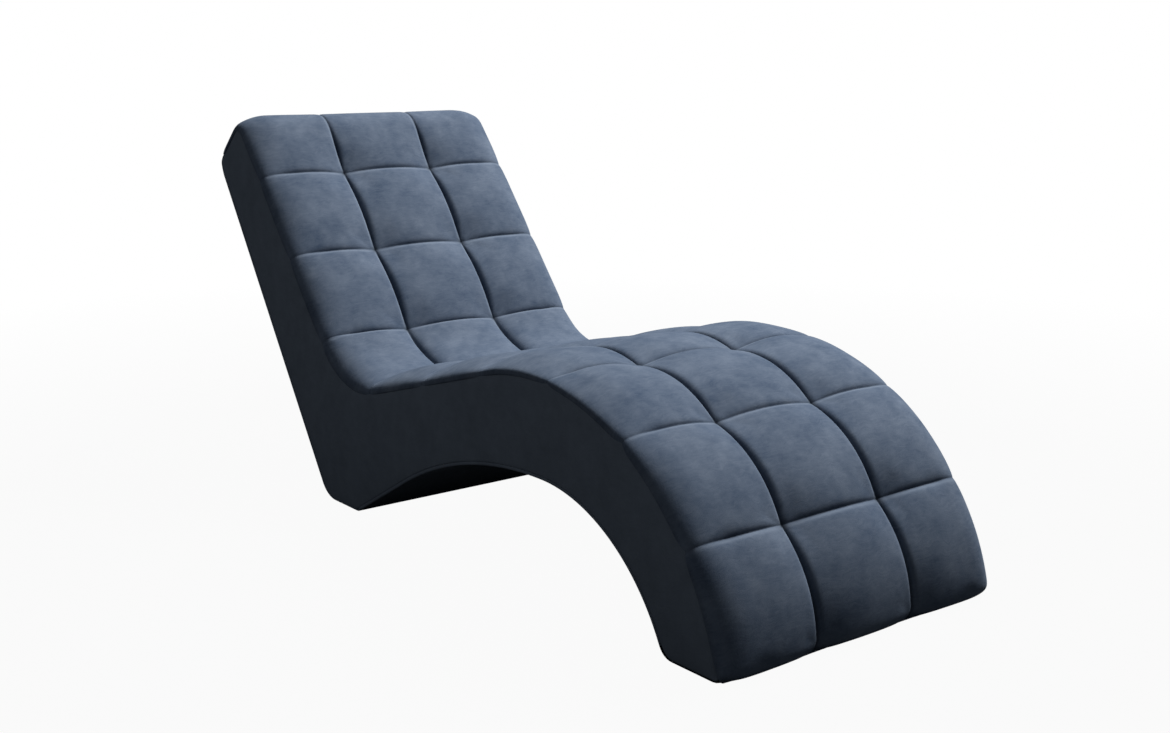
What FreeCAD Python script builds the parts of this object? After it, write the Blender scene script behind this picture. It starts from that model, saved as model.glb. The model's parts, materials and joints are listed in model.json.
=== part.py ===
import FreeCAD, Part
import math
import os

# A wave-shaped quilted lounger. X runs across it, Y from the foot end to the head end, Z up.
# Lengths are in millimetres and angles in degrees. The side outline is straight edges with rounded
# corners, and each layer is that outline set in by the layers outside it.

# Overall width, and the glides that it stands on.
WIDTH = 620.0
GLIDE_HEIGHT = 2.0
GLIDE_DIAMETER = 24.0
GLIDE_FOOT_DIAMETER = 20.0

# Side outline: heights are above the underside of the fabric, lengths along Y start at the toe.
FOOT_LENGTH = 132.0
FOOT_SLOPE = 76.6
SEAT_LOW_Y = 1109.0
SEAT_LOW_HEIGHT = 236.0
SEAT_SLOPE = 15.1
BACK_SLOPE = 51.2
BACK_LENGTH = 678.0
HEAD_DEPTH = 142.0
HEAD_TILT = 41.0
REAR_SLOPE = 56.1
HEEL_LENGTH = 128.0
ARCH_HEIGHT = 210.0
ARCH_REAR_SLOPE = 29.0
ARCH_FRONT_SLOPE = 62.0

# Radius of each corner of the side outline, at the outer skin.
KNEE_RADIUS = 500.0
LAP_RADIUS = 180.0
HEAD_FRONT_RADIUS = 34.0
HEAD_REAR_RADIUS = 22.0
HEEL_RADIUS = 62.0
ARCH_HEEL_RADIUS = 22.0
ARCH_BACK_RADIUS = 860.0
ARCH_KNEE_RADIUS = 342.0
FOOT_REAR_RADIUS = 32.0
LEAST_RADIUS = 2.0
EDGE_ROOM = 12.0
LEAST_LENGTH = 0.03
LEAST_SAG = 0.001

# Quilted cover: rows along the surface from the toe, columns across it.
LEG_ROWS = 3
LEG_ROW_PITCH = 204.5
BODY_ROWS = 6
HEAD_ROW_LENGTH = 265.0
COLUMN_SEAM_X = 110.0
QUILT_BASE = 10.0
CHANNEL_DEPTH = 4.0
CROWN_HEIGHT = 21.0
SEAM_CROWN = 2.0
SHOULDER_FOOT = 14.0
SHOULDER_REACH = 52.0
SHOULDER_FOOT_RISE = 0.42
SHOULDER_RISE = 0.84
BEND_ROOM = 6.0

# Layers under the cover, from the outside in, and the air left between curved layers.
LAYER_GAP = 0.3
CUT_REACH = 40.0
FOAM_THICKNESS = 40.0
FELT_THICKNESS = 4.0
STRAP_THICKNESS = 2.0
BACK_COVER_THICKNESS = 8.0
BACK_BOARD_THICKNESS = 3.0
ARCH_COVER_THICKNESS = 6.0
ARCH_COVER_EDGE = 3.0
FLOOR_COVER_THICKNESS = 3.0
SIDE_COVER_THICKNESS = 10.0
SIDE_COVER_EDGE = 4.0

# Wooden frame: boards, cross rails with a tenon at each end, and glued corner blocks.
BOARD_THICKNESS = 18.0
RAIL_THICKNESS = 22.0
RAIL_WIDTH = 60.0
END_RAIL_WIDTH = 32.0
END_RAIL_SINK = 6.0
TENON_WIDTH = 24.0
TENON_THICKNESS = 12.0
TENON_CLEARANCE = 0.15
BLOCK_LEG = 32.0
BLOCK_LENGTH = 40.0
SHIN_RAIL_AT = 190.0
ARCH_RAIL_AT = 470.0
SEAT_RAIL_AT = 800.0
LOWER_BACK_RAIL_AT = 230.0
UPPER_BACK_RAIL_AT = 540.0
KNEE_RAIL_AT = 510.0
KNEE_RAIL_SINK = 28.0

# Elastic belts across the boards.
STRAP_WIDTH = 60.0
STRAP_PITCH = 100.0
FIRST_STRAP_AT = 130.0
LAST_STRAP_MARGIN = 60.0
STRAP_ROOM = 8.0

HALF = WIDTH / 2.0
SKIN_INNER_X = HALF - SIDE_COVER_THICKNESS
BOARD_OUTER_X = SKIN_INNER_X
BOARD_INNER_X = BOARD_OUTER_X - BOARD_THICKNESS
BOARD_MIDDLE_X = BOARD_OUTER_X - BOARD_THICKNESS / 2.0
FILL_HALF = SKIN_INNER_X - LAYER_GAP

FOAM_TOP = QUILT_BASE + LAYER_GAP
FELT_TOP = FOAM_TOP + FOAM_THICKNESS + LAYER_GAP
STRAP_TOP = FELT_TOP + FELT_THICKNESS + LAYER_GAP
BOARD_TOP = STRAP_TOP + STRAP_THICKNESS + LAYER_GAP
BACK_BOARD_TOP = BACK_COVER_THICKNESS + LAYER_GAP
BOARD_REAR = BACK_BOARD_TOP + BACK_BOARD_THICKNESS + LAYER_GAP
BOARD_ARCH = ARCH_COVER_THICKNESS + LAYER_GAP
BOARD_FLOOR = FLOOR_COVER_THICKNESS + LAYER_GAP

TOP_EDGES = ("foot", "seat", "back", "head")
ARCH_EDGES = ("arch_rear", "arch_top", "arch_front")
FLOOR_EDGES = ("heel_floor", "foot_floor")
EDGES = TOP_EDGES + ("rear", "heel_floor") + ARCH_EDGES + ("foot_floor",)

# The corner of the same place in this list lies at the start of the edge.
CORNERS = ("toe", "knee", "lap", "head_front", "head_rear", "heel",
           "arch_heel", "arch_back", "arch_knee", "foot_rear")
RADII = {
    "toe": 0.0,
    "knee": KNEE_RADIUS,
    "lap": LAP_RADIUS,
    "head_front": HEAD_FRONT_RADIUS,
    "head_rear": HEAD_REAR_RADIUS,
    "heel": HEEL_RADIUS,
    "arch_heel": ARCH_HEEL_RADIUS,
    "arch_back": ARCH_BACK_RADIUS,
    "arch_knee": ARCH_KNEE_RADIUS,
    "foot_rear": FOOT_REAR_RADIUS,
}


def side(y, z):
    """A point of the middle plane."""
    return FreeCAD.Vector(0.0, y, z)


def along(heading):
    """Unit vector in the middle plane, at an angle above the +Y direction."""
    angle = math.radians(heading)
    return side(math.cos(angle), math.sin(angle))


def inward(heading):
    """Unit vector to the right of a heading, which points into the lounger."""
    return along(heading - 90.0)


def meet(point_a, heading_a, point_b, heading_b):
    """Crossing of two lines of the middle plane, each through a point at a heading."""
    step_a = along(heading_a)
    step_b = along(heading_b)
    apart = point_b - point_a
    cross = step_a.y * step_b.z - step_a.z * step_b.y
    reach = (apart.y * step_b.z - apart.z * step_b.y) / cross
    return point_a + step_a * reach


def outer_edges():
    """Point and heading of each edge of the outer skin, in the order of EDGES."""
    floor = side(0.0, GLIDE_HEIGHT)
    lap = side(SEAT_LOW_Y, GLIDE_HEIGHT + SEAT_LOW_HEIGHT)
    head_front = lap + along(BACK_SLOPE) * BACK_LENGTH
    head_rear = head_front + along(-HEAD_TILT) * HEAD_DEPTH
    rear_heading = REAR_SLOPE - 180.0
    heel = meet(head_rear, rear_heading, floor, 180.0)
    arch_heel = heel + along(180.0) * HEEL_LENGTH
    crest = side(0.0, GLIDE_HEIGHT + ARCH_HEIGHT)
    foot_rear = side(FOOT_LENGTH, GLIDE_HEIGHT)
    lines = (
        (floor, FOOT_SLOPE),
        (lap, -SEAT_SLOPE),
        (lap, BACK_SLOPE),
        (head_front, -HEAD_TILT),
        (head_rear, rear_heading),
        (floor, 180.0),
        (arch_heel, 180.0 - ARCH_REAR_SLOPE),
        (crest, 180.0),
        (foot_rear, 180.0 + ARCH_FRONT_SLOPE),
        (floor, 180.0),
    )
    return dict(zip(EDGES, lines))


def turn_at(index, lines):
    """Angle by which the outline turns at a corner, positive to the left."""
    return (lines[index][1] - lines[index - 1][1] + 180.0) % 360.0 - 180.0


def corner_points(lines):
    """Where each edge meets the one before it."""
    return [meet(*lines[index - 1], *lines[index]) for index in range(len(lines))]


def fitted_radii():
    """Radius of each corner of the outer skin, scaled where two roundings share a short edge."""
    lines = list(outer_edges().values())
    points = corner_points(lines)
    slopes = [math.tan(math.radians(abs(turn_at(index, lines))) / 2.0) for index in range(len(lines))]
    radii = [RADII[name] for name in CORNERS]
    for index in range(len(lines)):
        after = (index + 1) % len(lines)
        room = points[index].distanceToPoint(points[after]) - EDGE_ROOM
        used = radii[index] * slopes[index] + radii[after] * slopes[after]
        if used > room:
            radii[index] *= room / used
            radii[after] *= room / used
    return radii


class Outline:
    """Side outline with each edge set in by its own distance, and its corners rounded to match."""

    def __init__(self, insets):
        edges = outer_edges()
        self.lines = []
        for name in EDGES:
            point, heading = edges[name]
            self.lines.append((point + inward(heading) * insets.get(name, 0.0), heading))
        self.points = corner_points(self.lines)
        self.turns = [turn_at(index, self.lines) for index in range(len(EDGES))]
        self.reaches = []
        for index, radius in enumerate(fitted_radii()):
            mean = (insets.get(EDGES[index - 1], 0.0) + insets.get(EDGES[index], 0.0)) / 2.0
            if radius > 0.0:
                radius = max(radius + math.copysign(mean, self.turns[index]), LEAST_RADIUS)
            self.reaches.append(radius * math.tan(math.radians(abs(self.turns[index])) / 2.0))

    def start_of(self, corner):
        """Where the rounding of a corner starts."""
        index = CORNERS.index(corner)
        return self.points[index] - along(self.lines[index - 1][1]) * self.reaches[index]

    def end_of(self, corner):
        """Where the rounding of a corner ends."""
        index = CORNERS.index(corner)
        return self.points[index] + along(self.lines[index][1]) * self.reaches[index]

    def rounding(self, corner):
        """The arc at a corner, or nothing where the corner is sharp."""
        index = CORNERS.index(corner)
        if self.reaches[index] < LEAST_LENGTH:
            return []
        half = math.radians(abs(self.turns[index])) / 2.0
        radius = self.reaches[index] / math.tan(half)
        start = self.start_of(corner)
        end = self.end_of(corner)
        towards = (start + end) * 0.5 - self.points[index]
        towards.normalize()
        middle = self.points[index] + towards * (radius / math.cos(half) - radius)
        return [Part.Arc(start, middle, end).toShape()]

    def run(self, first, last, round_first=False, round_last=False):
        """Edges from one corner to another, with or without the roundings at its two ends."""
        index = CORNERS.index(first)
        pieces = self.rounding(first) if round_first else []
        while True:
            after = (index + 1) % len(CORNERS)
            start = self.end_of(CORNERS[index])
            end = self.start_of(CORNERS[after])
            if start.distanceToPoint(end) > LEAST_LENGTH:
                pieces.append(Part.LineSegment(start, end).toShape())
            is_last = CORNERS[after] == last
            if not is_last or round_last:
                pieces.extend(self.rounding(CORNERS[after]))
            if is_last:
                return pieces
            index = after

    def closed(self):
        """The whole outline as a wire."""
        return Part.Wire(self.run("toe", "toe", round_last=True))


def insets(top=0.0, rear=0.0, arch=0.0, floor=0.0):
    """Distances by which a layer's outline is set in from the outer skin."""
    distances = {"rear": rear}
    distances.update({name: top for name in TOP_EDGES})
    distances.update({name: arch for name in ARCH_EDGES})
    distances.update({name: floor for name in FLOOR_EDGES})
    return distances


def place_on(pieces, distance):
    """Point and heading at a distance along a row of edges."""
    for edge in pieces:
        if distance <= edge.Length or edge is pieces[-1]:
            parameter = edge.getParameterByLength(min(distance, edge.Length))
            tangent = edge.tangentAt(parameter)
            return edge.valueAt(parameter), math.degrees(math.atan2(tangent.z, tangent.y))
        distance -= edge.Length


def lifted(pieces, distance, height):
    """Point at a height above a row of edges, at a distance along it."""
    point, heading = place_on(pieces, distance)
    return point - inward(heading) * height


def bow(start, middle, end):
    """Arc through three points, or a line where they lie in line."""
    chord = end - start
    sag = chord.cross(middle - start).Length / chord.Length
    if sag < LEAST_SAG:
        return Part.LineSegment(start, end).toShape()
    return Part.Arc(start, middle, end).toShape()


def loop(outer, inner):
    """Closed wire from two rows of edges that run the same way, joined at their ends."""
    first_out = outer[0].valueAt(outer[0].FirstParameter)
    last_out = outer[-1].valueAt(outer[-1].LastParameter)
    first_in = inner[0].valueAt(inner[0].FirstParameter)
    last_in = inner[-1].valueAt(inner[-1].LastParameter)
    closing = [Part.LineSegment(last_out, last_in).toShape()]
    opening = [Part.LineSegment(first_in, first_out).toShape()]
    return Part.Wire(outer + closing + inner[::-1] + opening)


def prism(wire, from_x, to_x):
    """Solid between two planes across the lounger."""
    face = Part.Face(wire)
    face.translate(FreeCAD.Vector(from_x, 0.0, 0.0))
    return face.extrude(FreeCAD.Vector(to_x - from_x, 0.0, 0.0))


def polygon(points):
    """Closed wire of straight lines."""
    return Part.makePolygon(list(points) + [points[0]])


def mirrored(shape):
    """Copy on the other side of the middle plane."""
    return shape.mirror(FreeCAD.Vector(0.0, 0.0, 0.0), FreeCAD.Vector(1.0, 0.0, 0.0))


def shoulder_stations(start, end):
    """Places and rises of a padded cell between two seams."""
    middle = (start + end) / 2.0
    return (
        (start, 0.0),
        (start + SHOULDER_FOOT, SHOULDER_FOOT_RISE),
        (start + SHOULDER_REACH, SHOULDER_RISE),
        (middle, 1.0),
        (end - SHOULDER_REACH, SHOULDER_RISE),
        (end - SHOULDER_FOOT, SHOULDER_FOOT_RISE),
        (end, 0.0),
    )


def row_seams(length):
    """Distances of the cross seams from the toe, with both ends of the cover."""
    seams = [row * LEG_ROW_PITCH for row in range(LEG_ROWS)]
    first = LEG_ROWS * LEG_ROW_PITCH
    pitch = (length - HEAD_ROW_LENGTH - first) / BODY_ROWS
    seams += [first + row * pitch for row in range(BODY_ROWS + 1)]
    return seams + [length]


def rise_at(place, stations):
    """Rise at a place between three stations, on the parabola through them."""
    (a, rise_a), (b, rise_b), (c, rise_c) = stations
    weight_a = (place - b) * (place - c) / ((a - b) * (a - c))
    weight_b = (place - a) * (place - c) / ((b - a) * (b - c))
    weight_c = (place - a) * (place - b) / ((c - a) * (c - b))
    return rise_a * weight_a + rise_b * weight_b + rise_c * weight_c


def bend_places(pieces):
    """Distances along a row of edges at which one edge follows another."""
    places = []
    total = 0.0
    for edge in pieces[:-1]:
        total += edge.Length
        places.append(total)
    return places


def quilt_section(crown, x):
    """Closed wire of the quilted cover at one place across the width."""
    skin = Outline({}).run("toe", "head_rear")
    under = Outline(insets(top=QUILT_BASE, rear=QUILT_BASE)).run("toe", "head_rear")
    bends = bend_places(skin)
    seams = row_seams(sum(edge.Length for edge in skin))
    top = []
    for start, end in zip(seams, seams[1:]):
        stations = shoulder_stations(start, end)
        for index in range(0, len(stations) - 1, 2):
            three = stations[index:index + 3]
            low = three[0][0]
            high = three[2][0]
            inside = [place for place in bends if low + BEND_ROOM < place < high - BEND_ROOM]
            stops = [low] + inside + [high]
            for first, last in zip(stops, stops[1:]):
                places = (first, (first + last) / 2.0, last)
                heights = [rise_at(place, three) * crown - CHANNEL_DEPTH for place in places]
                top.append(bow(*[lifted(skin, place, height) for place, height in zip(places, heights)]))
    wire = loop(top, under)
    wire.translate(FreeCAD.Vector(x, 0.0, 0.0))
    return wire


def quilted_cover():
    """Padded top with a crowned cell between each pair of seams, lofted from side to side."""
    seams = (-HALF, -COLUMN_SEAM_X, COLUMN_SEAM_X, HALF)
    rises = {x: rise for pair in zip(seams, seams[1:]) for x, rise in shoulder_stations(*pair)}
    swell = CROWN_HEIGHT + CHANNEL_DEPTH - SEAM_CROWN
    sections = [quilt_section(SEAM_CROWN + swell * rises[x], x) for x in sorted(rises)]
    return Part.makeLoft(sections, True, True)


def top_line(inset, last="head_front"):
    """Line set in from the top, which starts below the floor under the toe."""
    return Outline(insets(inset, -CUT_REACH, 0.0, -CUT_REACH)).run("toe", last)


def under(inset, from_x, to_x):
    """Everything below a line set in from the top, between two planes."""
    line = top_line(inset, "head_rear")
    first = line[0].valueAt(line[0].FirstParameter)
    last = line[-1].valueAt(line[-1].LastParameter)
    rear = last + along(-HEAD_TILT) * HEAD_DEPTH
    down = [Part.LineSegment(*ends).toShape() for ends in
            ((last, rear), (rear, side(rear.y, first.z)), (side(rear.y, first.z), first))]
    return prism(Part.Wire(line + down), from_x, to_x)


def core(top, rear, from_x, to_x):
    """Room inside the covers and under a line set in from the top, between two planes."""
    hull = Outline(insets(rear, rear, BOARD_ARCH, BOARD_FLOOR))
    return prism(hull.closed(), from_x, to_x).common(under(top, from_x, to_x))


def filling(top, thickness):
    """Layer under the cover, from the toe to the rear of the head."""
    room = core(top, BACK_BOARD_TOP, -FILL_HALF, FILL_HALF)
    return room.cut(under(top + thickness, -HALF, HALF))


def back_cover():
    """Fabric from the head seam over the rear edge, down the back and round the heel."""
    thin = FLOOR_COVER_THICKNESS
    lining = Outline(insets(BACK_COVER_THICKNESS, BACK_COVER_THICKNESS, thin, thin))
    outer = Outline({}).run("head_rear", "arch_heel", round_first=True, round_last=True)
    inner = lining.run("head_rear", "arch_heel", round_first=True, round_last=True)
    return prism(loop(outer, inner), -HALF, HALF)


def arch_section(ease, x):
    """Closed wire of the arch lining at one place across the width."""
    thickness = ARCH_COVER_THICKNESS
    outer = Outline(insets(arch=ease, floor=ease)).run("arch_heel", "foot_rear")
    inner = Outline(insets(arch=thickness, floor=thickness)).run("arch_heel", "foot_rear")
    wire = loop(outer, inner)
    wire.translate(FreeCAD.Vector(x, 0.0, 0.0))
    return wire


def arch_cover():
    """Padded lining of the arch, from the heel to the rear of the foot, with its long edges eased."""
    edge = HALF - ARCH_COVER_EDGE
    stations = ((ARCH_COVER_EDGE, -HALF), (0.0, -edge), (0.0, edge), (ARCH_COVER_EDGE, HALF))
    return Part.makeLoft([arch_section(ease, x) for ease, x in stations], True, True)


def toe_cover():
    """Fabric under the foot, from the arch lining to the quilted cover."""
    thin = FLOOR_COVER_THICKNESS
    outer = Outline(insets(top=FOAM_TOP)).run("foot_rear", "toe", round_first=True)
    inner = Outline(insets(FOAM_TOP, 0.0, thin, thin)).run("foot_rear", "toe", round_first=True)
    return prism(loop(outer, inner), -HALF, HALF)


def side_section(ease, x):
    """Closed wire of the side cover at one place across the width."""
    outline = Outline(insets(FOAM_TOP + ease, BACK_BOARD_TOP + ease, BOARD_ARCH + ease, BOARD_FLOOR + ease))
    wire = outline.closed()
    wire.translate(FreeCAD.Vector(x, 0.0, 0.0))
    return wire


def side_cover():
    """Padded side panel with an eased outer edge, on the +X side."""
    stations = ((0.0, SKIN_INNER_X), (0.0, HALF - SIDE_COVER_EDGE), (SIDE_COVER_EDGE, HALF))
    return Part.makeLoft([side_section(ease, x) for ease, x in stations], True, True)


def board_outline():
    """Outline of the wooden side boards."""
    return Outline(insets(BOARD_TOP, BOARD_REAR, BOARD_ARCH, BOARD_FLOOR))


def back_board():
    """Flat hardboard on the rear edges of the side boards."""
    skin = Outline(insets(STRAP_TOP, BACK_BOARD_TOP, BOARD_ARCH, BOARD_FLOOR))
    top = skin.end_of("head_rear")
    bottom = skin.start_of("heel")
    inset = inward(skin.lines[EDGES.index("rear")][1]) * BACK_BOARD_THICKNESS
    return prism(polygon([top, bottom, bottom + inset, top + inset]), -FILL_HALF, FILL_HALF)


class Rail:
    """Cross rail at a point of the board's edge, with its wide face along the edge."""

    def __init__(self, point, heading, width=RAIL_WIDTH, sink=0.0, blocks=True):
        self.step = along(heading)
        self.depth = inward(heading)
        self.face = point + self.depth * sink
        self.width = width
        self.blocks = blocks

    def bar(self, width, thickness, to_x):
        """Bar across the lounger, with its middle on that of the rail."""
        middle = self.face + self.depth * (RAIL_THICKNESS / 2.0)
        across = self.step * (width / 2.0)
        through = self.depth * (thickness / 2.0)
        corners = [middle - across - through, middle + across - through,
                   middle + across + through, middle - across + through]
        return prism(polygon(corners), -to_x, to_x)

    def solid(self):
        """The rail with its two tenons."""
        body = self.bar(self.width, RAIL_THICKNESS, BOARD_INNER_X)
        return body.fuse(self.bar(TENON_WIDTH, TENON_THICKNESS, BOARD_OUTER_X)).removeSplitter()

    def mortise(self):
        """Hole through the boards for the tenons."""
        room = 2.0 * TENON_CLEARANCE
        return self.bar(TENON_WIDTH + room, TENON_THICKNESS + room, HALF)

    def corner_block(self):
        """Triangular block between the rail and the +X board."""
        start = self.face + self.depth * RAIL_THICKNESS - self.step * (BLOCK_LENGTH / 2.0)
        seat = FreeCAD.Vector(BOARD_INNER_X, 0.0, 0.0)
        leg = FreeCAD.Vector(-BLOCK_LEG, 0.0, 0.0)
        wire = polygon([start + seat, start + seat + leg, start + seat + self.depth * BLOCK_LEG])
        return Part.Face(wire).extrude(self.step * BLOCK_LENGTH)


def rails():
    """All cross rails by name."""
    outline = board_outline()
    arch = outline.run("arch_heel", "foot_rear")
    arch_length = sum(edge.Length for edge in arch)
    rear = outline.run("head_rear", "heel")
    rear_length = sum(edge.Length for edge in rear)
    top = top_line(BOARD_TOP)
    head = outline.run("head_front", "head_rear")
    head_middle = sum(edge.Length for edge in head) / 2.0
    toe = (outline.end_of("foot_rear") + outline.start_of("toe")) * 0.5
    heel = (outline.end_of("heel") + outline.start_of("arch_heel")) * 0.5
    end_rail = {"width": END_RAIL_WIDTH, "sink": END_RAIL_SINK, "blocks": False}
    return {
        "toe_rail": Rail(toe, 180.0, **end_rail),
        "shin_rail": Rail(*place_on(arch, arch_length - SHIN_RAIL_AT)),
        "arch_rail": Rail(*place_on(arch, arch_length - ARCH_RAIL_AT)),
        "seat_rail": Rail(*place_on(arch, arch_length - SEAT_RAIL_AT)),
        "heel_rail": Rail(heel, 180.0, **end_rail),
        "lower_back_rail": Rail(*place_on(rear, rear_length - LOWER_BACK_RAIL_AT)),
        "upper_back_rail": Rail(*place_on(rear, rear_length - UPPER_BACK_RAIL_AT)),
        "head_rail": Rail(*place_on(head, head_middle), **end_rail),
        "knee_rail": Rail(*place_on(top, KNEE_RAIL_AT), sink=KNEE_RAIL_SINK),
    }


def straps():
    """Elastic belts across the boards, cut from one layer on their top line."""
    layer = filling(STRAP_TOP, STRAP_THICKNESS)
    line = top_line(STRAP_TOP)
    length = sum(edge.Length for edge in line)
    count = int((length - FIRST_STRAP_AT - LAST_STRAP_MARGIN) / STRAP_PITCH) + 1
    belts = []
    for index in range(count):
        start = FIRST_STRAP_AT + index * STRAP_PITCH - STRAP_WIDTH / 2.0
        end = start + STRAP_WIDTH
        room = [lifted(line, at, height) for at, height in
                ((start, STRAP_ROOM), (end, STRAP_ROOM), (end, -STRAP_ROOM), (start, -STRAP_ROOM))]
        belts.append(layer.common(prism(polygon(room), -HALF, HALF)))
    return Part.makeCompound([belt.Solids[0] for belt in belts])


def glide_places():
    """Middle of the floor line under the foot and of the one under the heel."""
    outline = Outline({})
    toe = (outline.end_of("foot_rear") + outline.start_of("toe")) * 0.5
    heel = (outline.end_of("heel") + outline.start_of("arch_heel")) * 0.5
    return toe.y, heel.y


def glides(y):
    """Pair of low glides under the boards, narrower at the floor."""
    pair = []
    for x in (-BOARD_MIDDLE_X, BOARD_MIDDLE_X):
        foot = GLIDE_FOOT_DIAMETER / 2.0
        pair.append(Part.makeCone(foot, GLIDE_DIAMETER / 2.0, GLIDE_HEIGHT, FreeCAD.Vector(x, y, 0.0)))
    return Part.makeCompound(pair)


def build():
    """All solids by the name of their piece."""
    toe_y, heel_y = glide_places()
    frame = rails()

    board = core(BOARD_TOP, BOARD_REAR, BOARD_INNER_X, BOARD_OUTER_X)
    board = board.cut([rail.mortise() for rail in frame.values()])
    cover = side_cover()
    blocks = [rail.corner_block() for rail in frame.values() if rail.blocks]

    pieces = {name: rail.solid() for name, rail in frame.items()}
    pieces.update({
        "quilted_cover": quilted_cover(),
        "left_side_cover": cover,
        "right_side_cover": mirrored(cover),
        "back_cover": back_cover(),
        "arch_cover": arch_cover(),
        "toe_cover": toe_cover(),
        "left_side_panel": board,
        "right_side_panel": mirrored(board),
        "corner_blocks": Part.makeCompound(blocks + [mirrored(block) for block in blocks]),
        "webbing_straps": straps(),
        "felt_pad": filling(FELT_TOP, FELT_THICKNESS),
        "foam_core": filling(FOAM_TOP, FOAM_THICKNESS),
        "back_board": back_board(),
        "toe_glides": glides(toe_y),
        "heel_glides": glides(heel_y),
    })
    return pieces


def main():
    """Builds the pieces about the middle of their length and writes one file each."""
    os.makedirs("parts", exist_ok=True)
    pieces = build()
    box = Part.makeCompound(list(pieces.values())).optimalBoundingBox()
    middle = FreeCAD.Vector(0.0, -(box.YMin + box.YMax) / 2.0, 0.0)
    for name, shape in pieces.items():
        shape.translate(middle)
        shape.exportStep("parts/" + name + ".step")
    lengths = (box.XLength, box.YLength, box.ZLength)
    print("size", *[round(length, 1) for length in lengths], "shift", round(middle.y, 1))


main()
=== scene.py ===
"""Looks of a wave-shaped quilted lounger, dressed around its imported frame.

Lengths are in metres and angles in degrees. X runs across the lounger, Y from the foot end to the
head end, Z up. The side outline repeats the driving sizes of the part, so that each padded piece
lies in the space that its solid holds.
"""

import json
import logging
import math
from collections.abc import Callable
from dataclasses import dataclass
from enum import Enum

import bpy
import numpy as np
from mathutils import Matrix, Vector
from mathutils.geometry import delaunay_2d_cdt


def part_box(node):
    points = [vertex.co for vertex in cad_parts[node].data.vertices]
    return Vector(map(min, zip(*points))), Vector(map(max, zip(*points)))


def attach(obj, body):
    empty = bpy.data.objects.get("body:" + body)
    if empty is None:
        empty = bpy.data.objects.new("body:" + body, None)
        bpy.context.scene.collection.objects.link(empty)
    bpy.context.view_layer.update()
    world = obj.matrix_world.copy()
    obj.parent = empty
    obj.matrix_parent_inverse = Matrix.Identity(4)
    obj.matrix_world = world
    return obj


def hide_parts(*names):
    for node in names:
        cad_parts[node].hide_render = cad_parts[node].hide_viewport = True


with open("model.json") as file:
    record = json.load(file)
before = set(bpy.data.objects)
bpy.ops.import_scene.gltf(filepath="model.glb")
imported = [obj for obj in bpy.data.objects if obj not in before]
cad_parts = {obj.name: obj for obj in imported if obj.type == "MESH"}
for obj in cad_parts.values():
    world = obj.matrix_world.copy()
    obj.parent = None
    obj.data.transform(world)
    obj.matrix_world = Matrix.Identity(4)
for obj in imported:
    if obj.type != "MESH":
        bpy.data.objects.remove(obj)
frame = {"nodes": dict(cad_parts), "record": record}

LOG = logging.getLogger("lounger")
CUT = "cut"
# Names of the mesh marks that carry painted seam shade and painted fold highlight.
SEAM_SHADE = "seam"
LIP_HIGHLIGHT = "fold"
MERGE_REACH = 0.00002
CLOSE = 1e-7
TINY = 1e-9
MEAN = 0.5
Colour = tuple[float, float, float]
Triple = tuple[float, float, float]


class Corner(Enum):
    """Corners of the side outline, in the order in which the line passes them."""

    TOE = 0
    KNEE = 1
    LAP = 2
    HEAD_FRONT = 3
    HEAD_REAR = 4
    HEEL = 5
    ARCH_HEEL = 6
    ARCH_BACK = 7
    ARCH_KNEE = 8
    FOOT_REAR = 9


class Side(Enum):
    """The two sides, by the sign of X. The left is the sitter's."""

    LEFT = 1
    RIGHT = -1


class Nap(Enum):
    """What the streaks of a napped cloth follow, with the streaks per metre along each axis."""

    CUT = (34.0, 250.0, 1.0)
    PLACE = (34.0, 34.0, 250.0)


def along(heading: float) -> np.ndarray:
    """Unit step (Y, Z) at an angle above the +Y direction."""
    return np.array([math.cos(math.radians(heading)), math.sin(math.radians(heading))])


def meet(point_a: np.ndarray, heading_a: float,
         point_b: np.ndarray, heading_b: float) -> np.ndarray:
    """Finds where two lines cross.

    Args:
        point_a: A point (Y, Z) of the first line.
        heading_a: Its angle above the +Y direction.
        point_b: A point of the second line.
        heading_b: Its angle.

    Returns:
        The crossing point (Y, Z).
    """
    step_a = along(heading_a)
    step_b = along(heading_b)
    apart = point_b - point_a
    cross = step_a[0] * step_b[1] - step_a[1] * step_b[0]
    reach = (apart[0] * step_b[1] - apart[1] * step_b[0]) / cross
    return point_a + step_a * reach


def smooth(share: np.ndarray) -> np.ndarray:
    """Eases a share from 0 to 1, held at both ends."""
    held = np.clip(share, 0.0, 1.0)
    return held * held * (3.0 - 2.0 * held)


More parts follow.
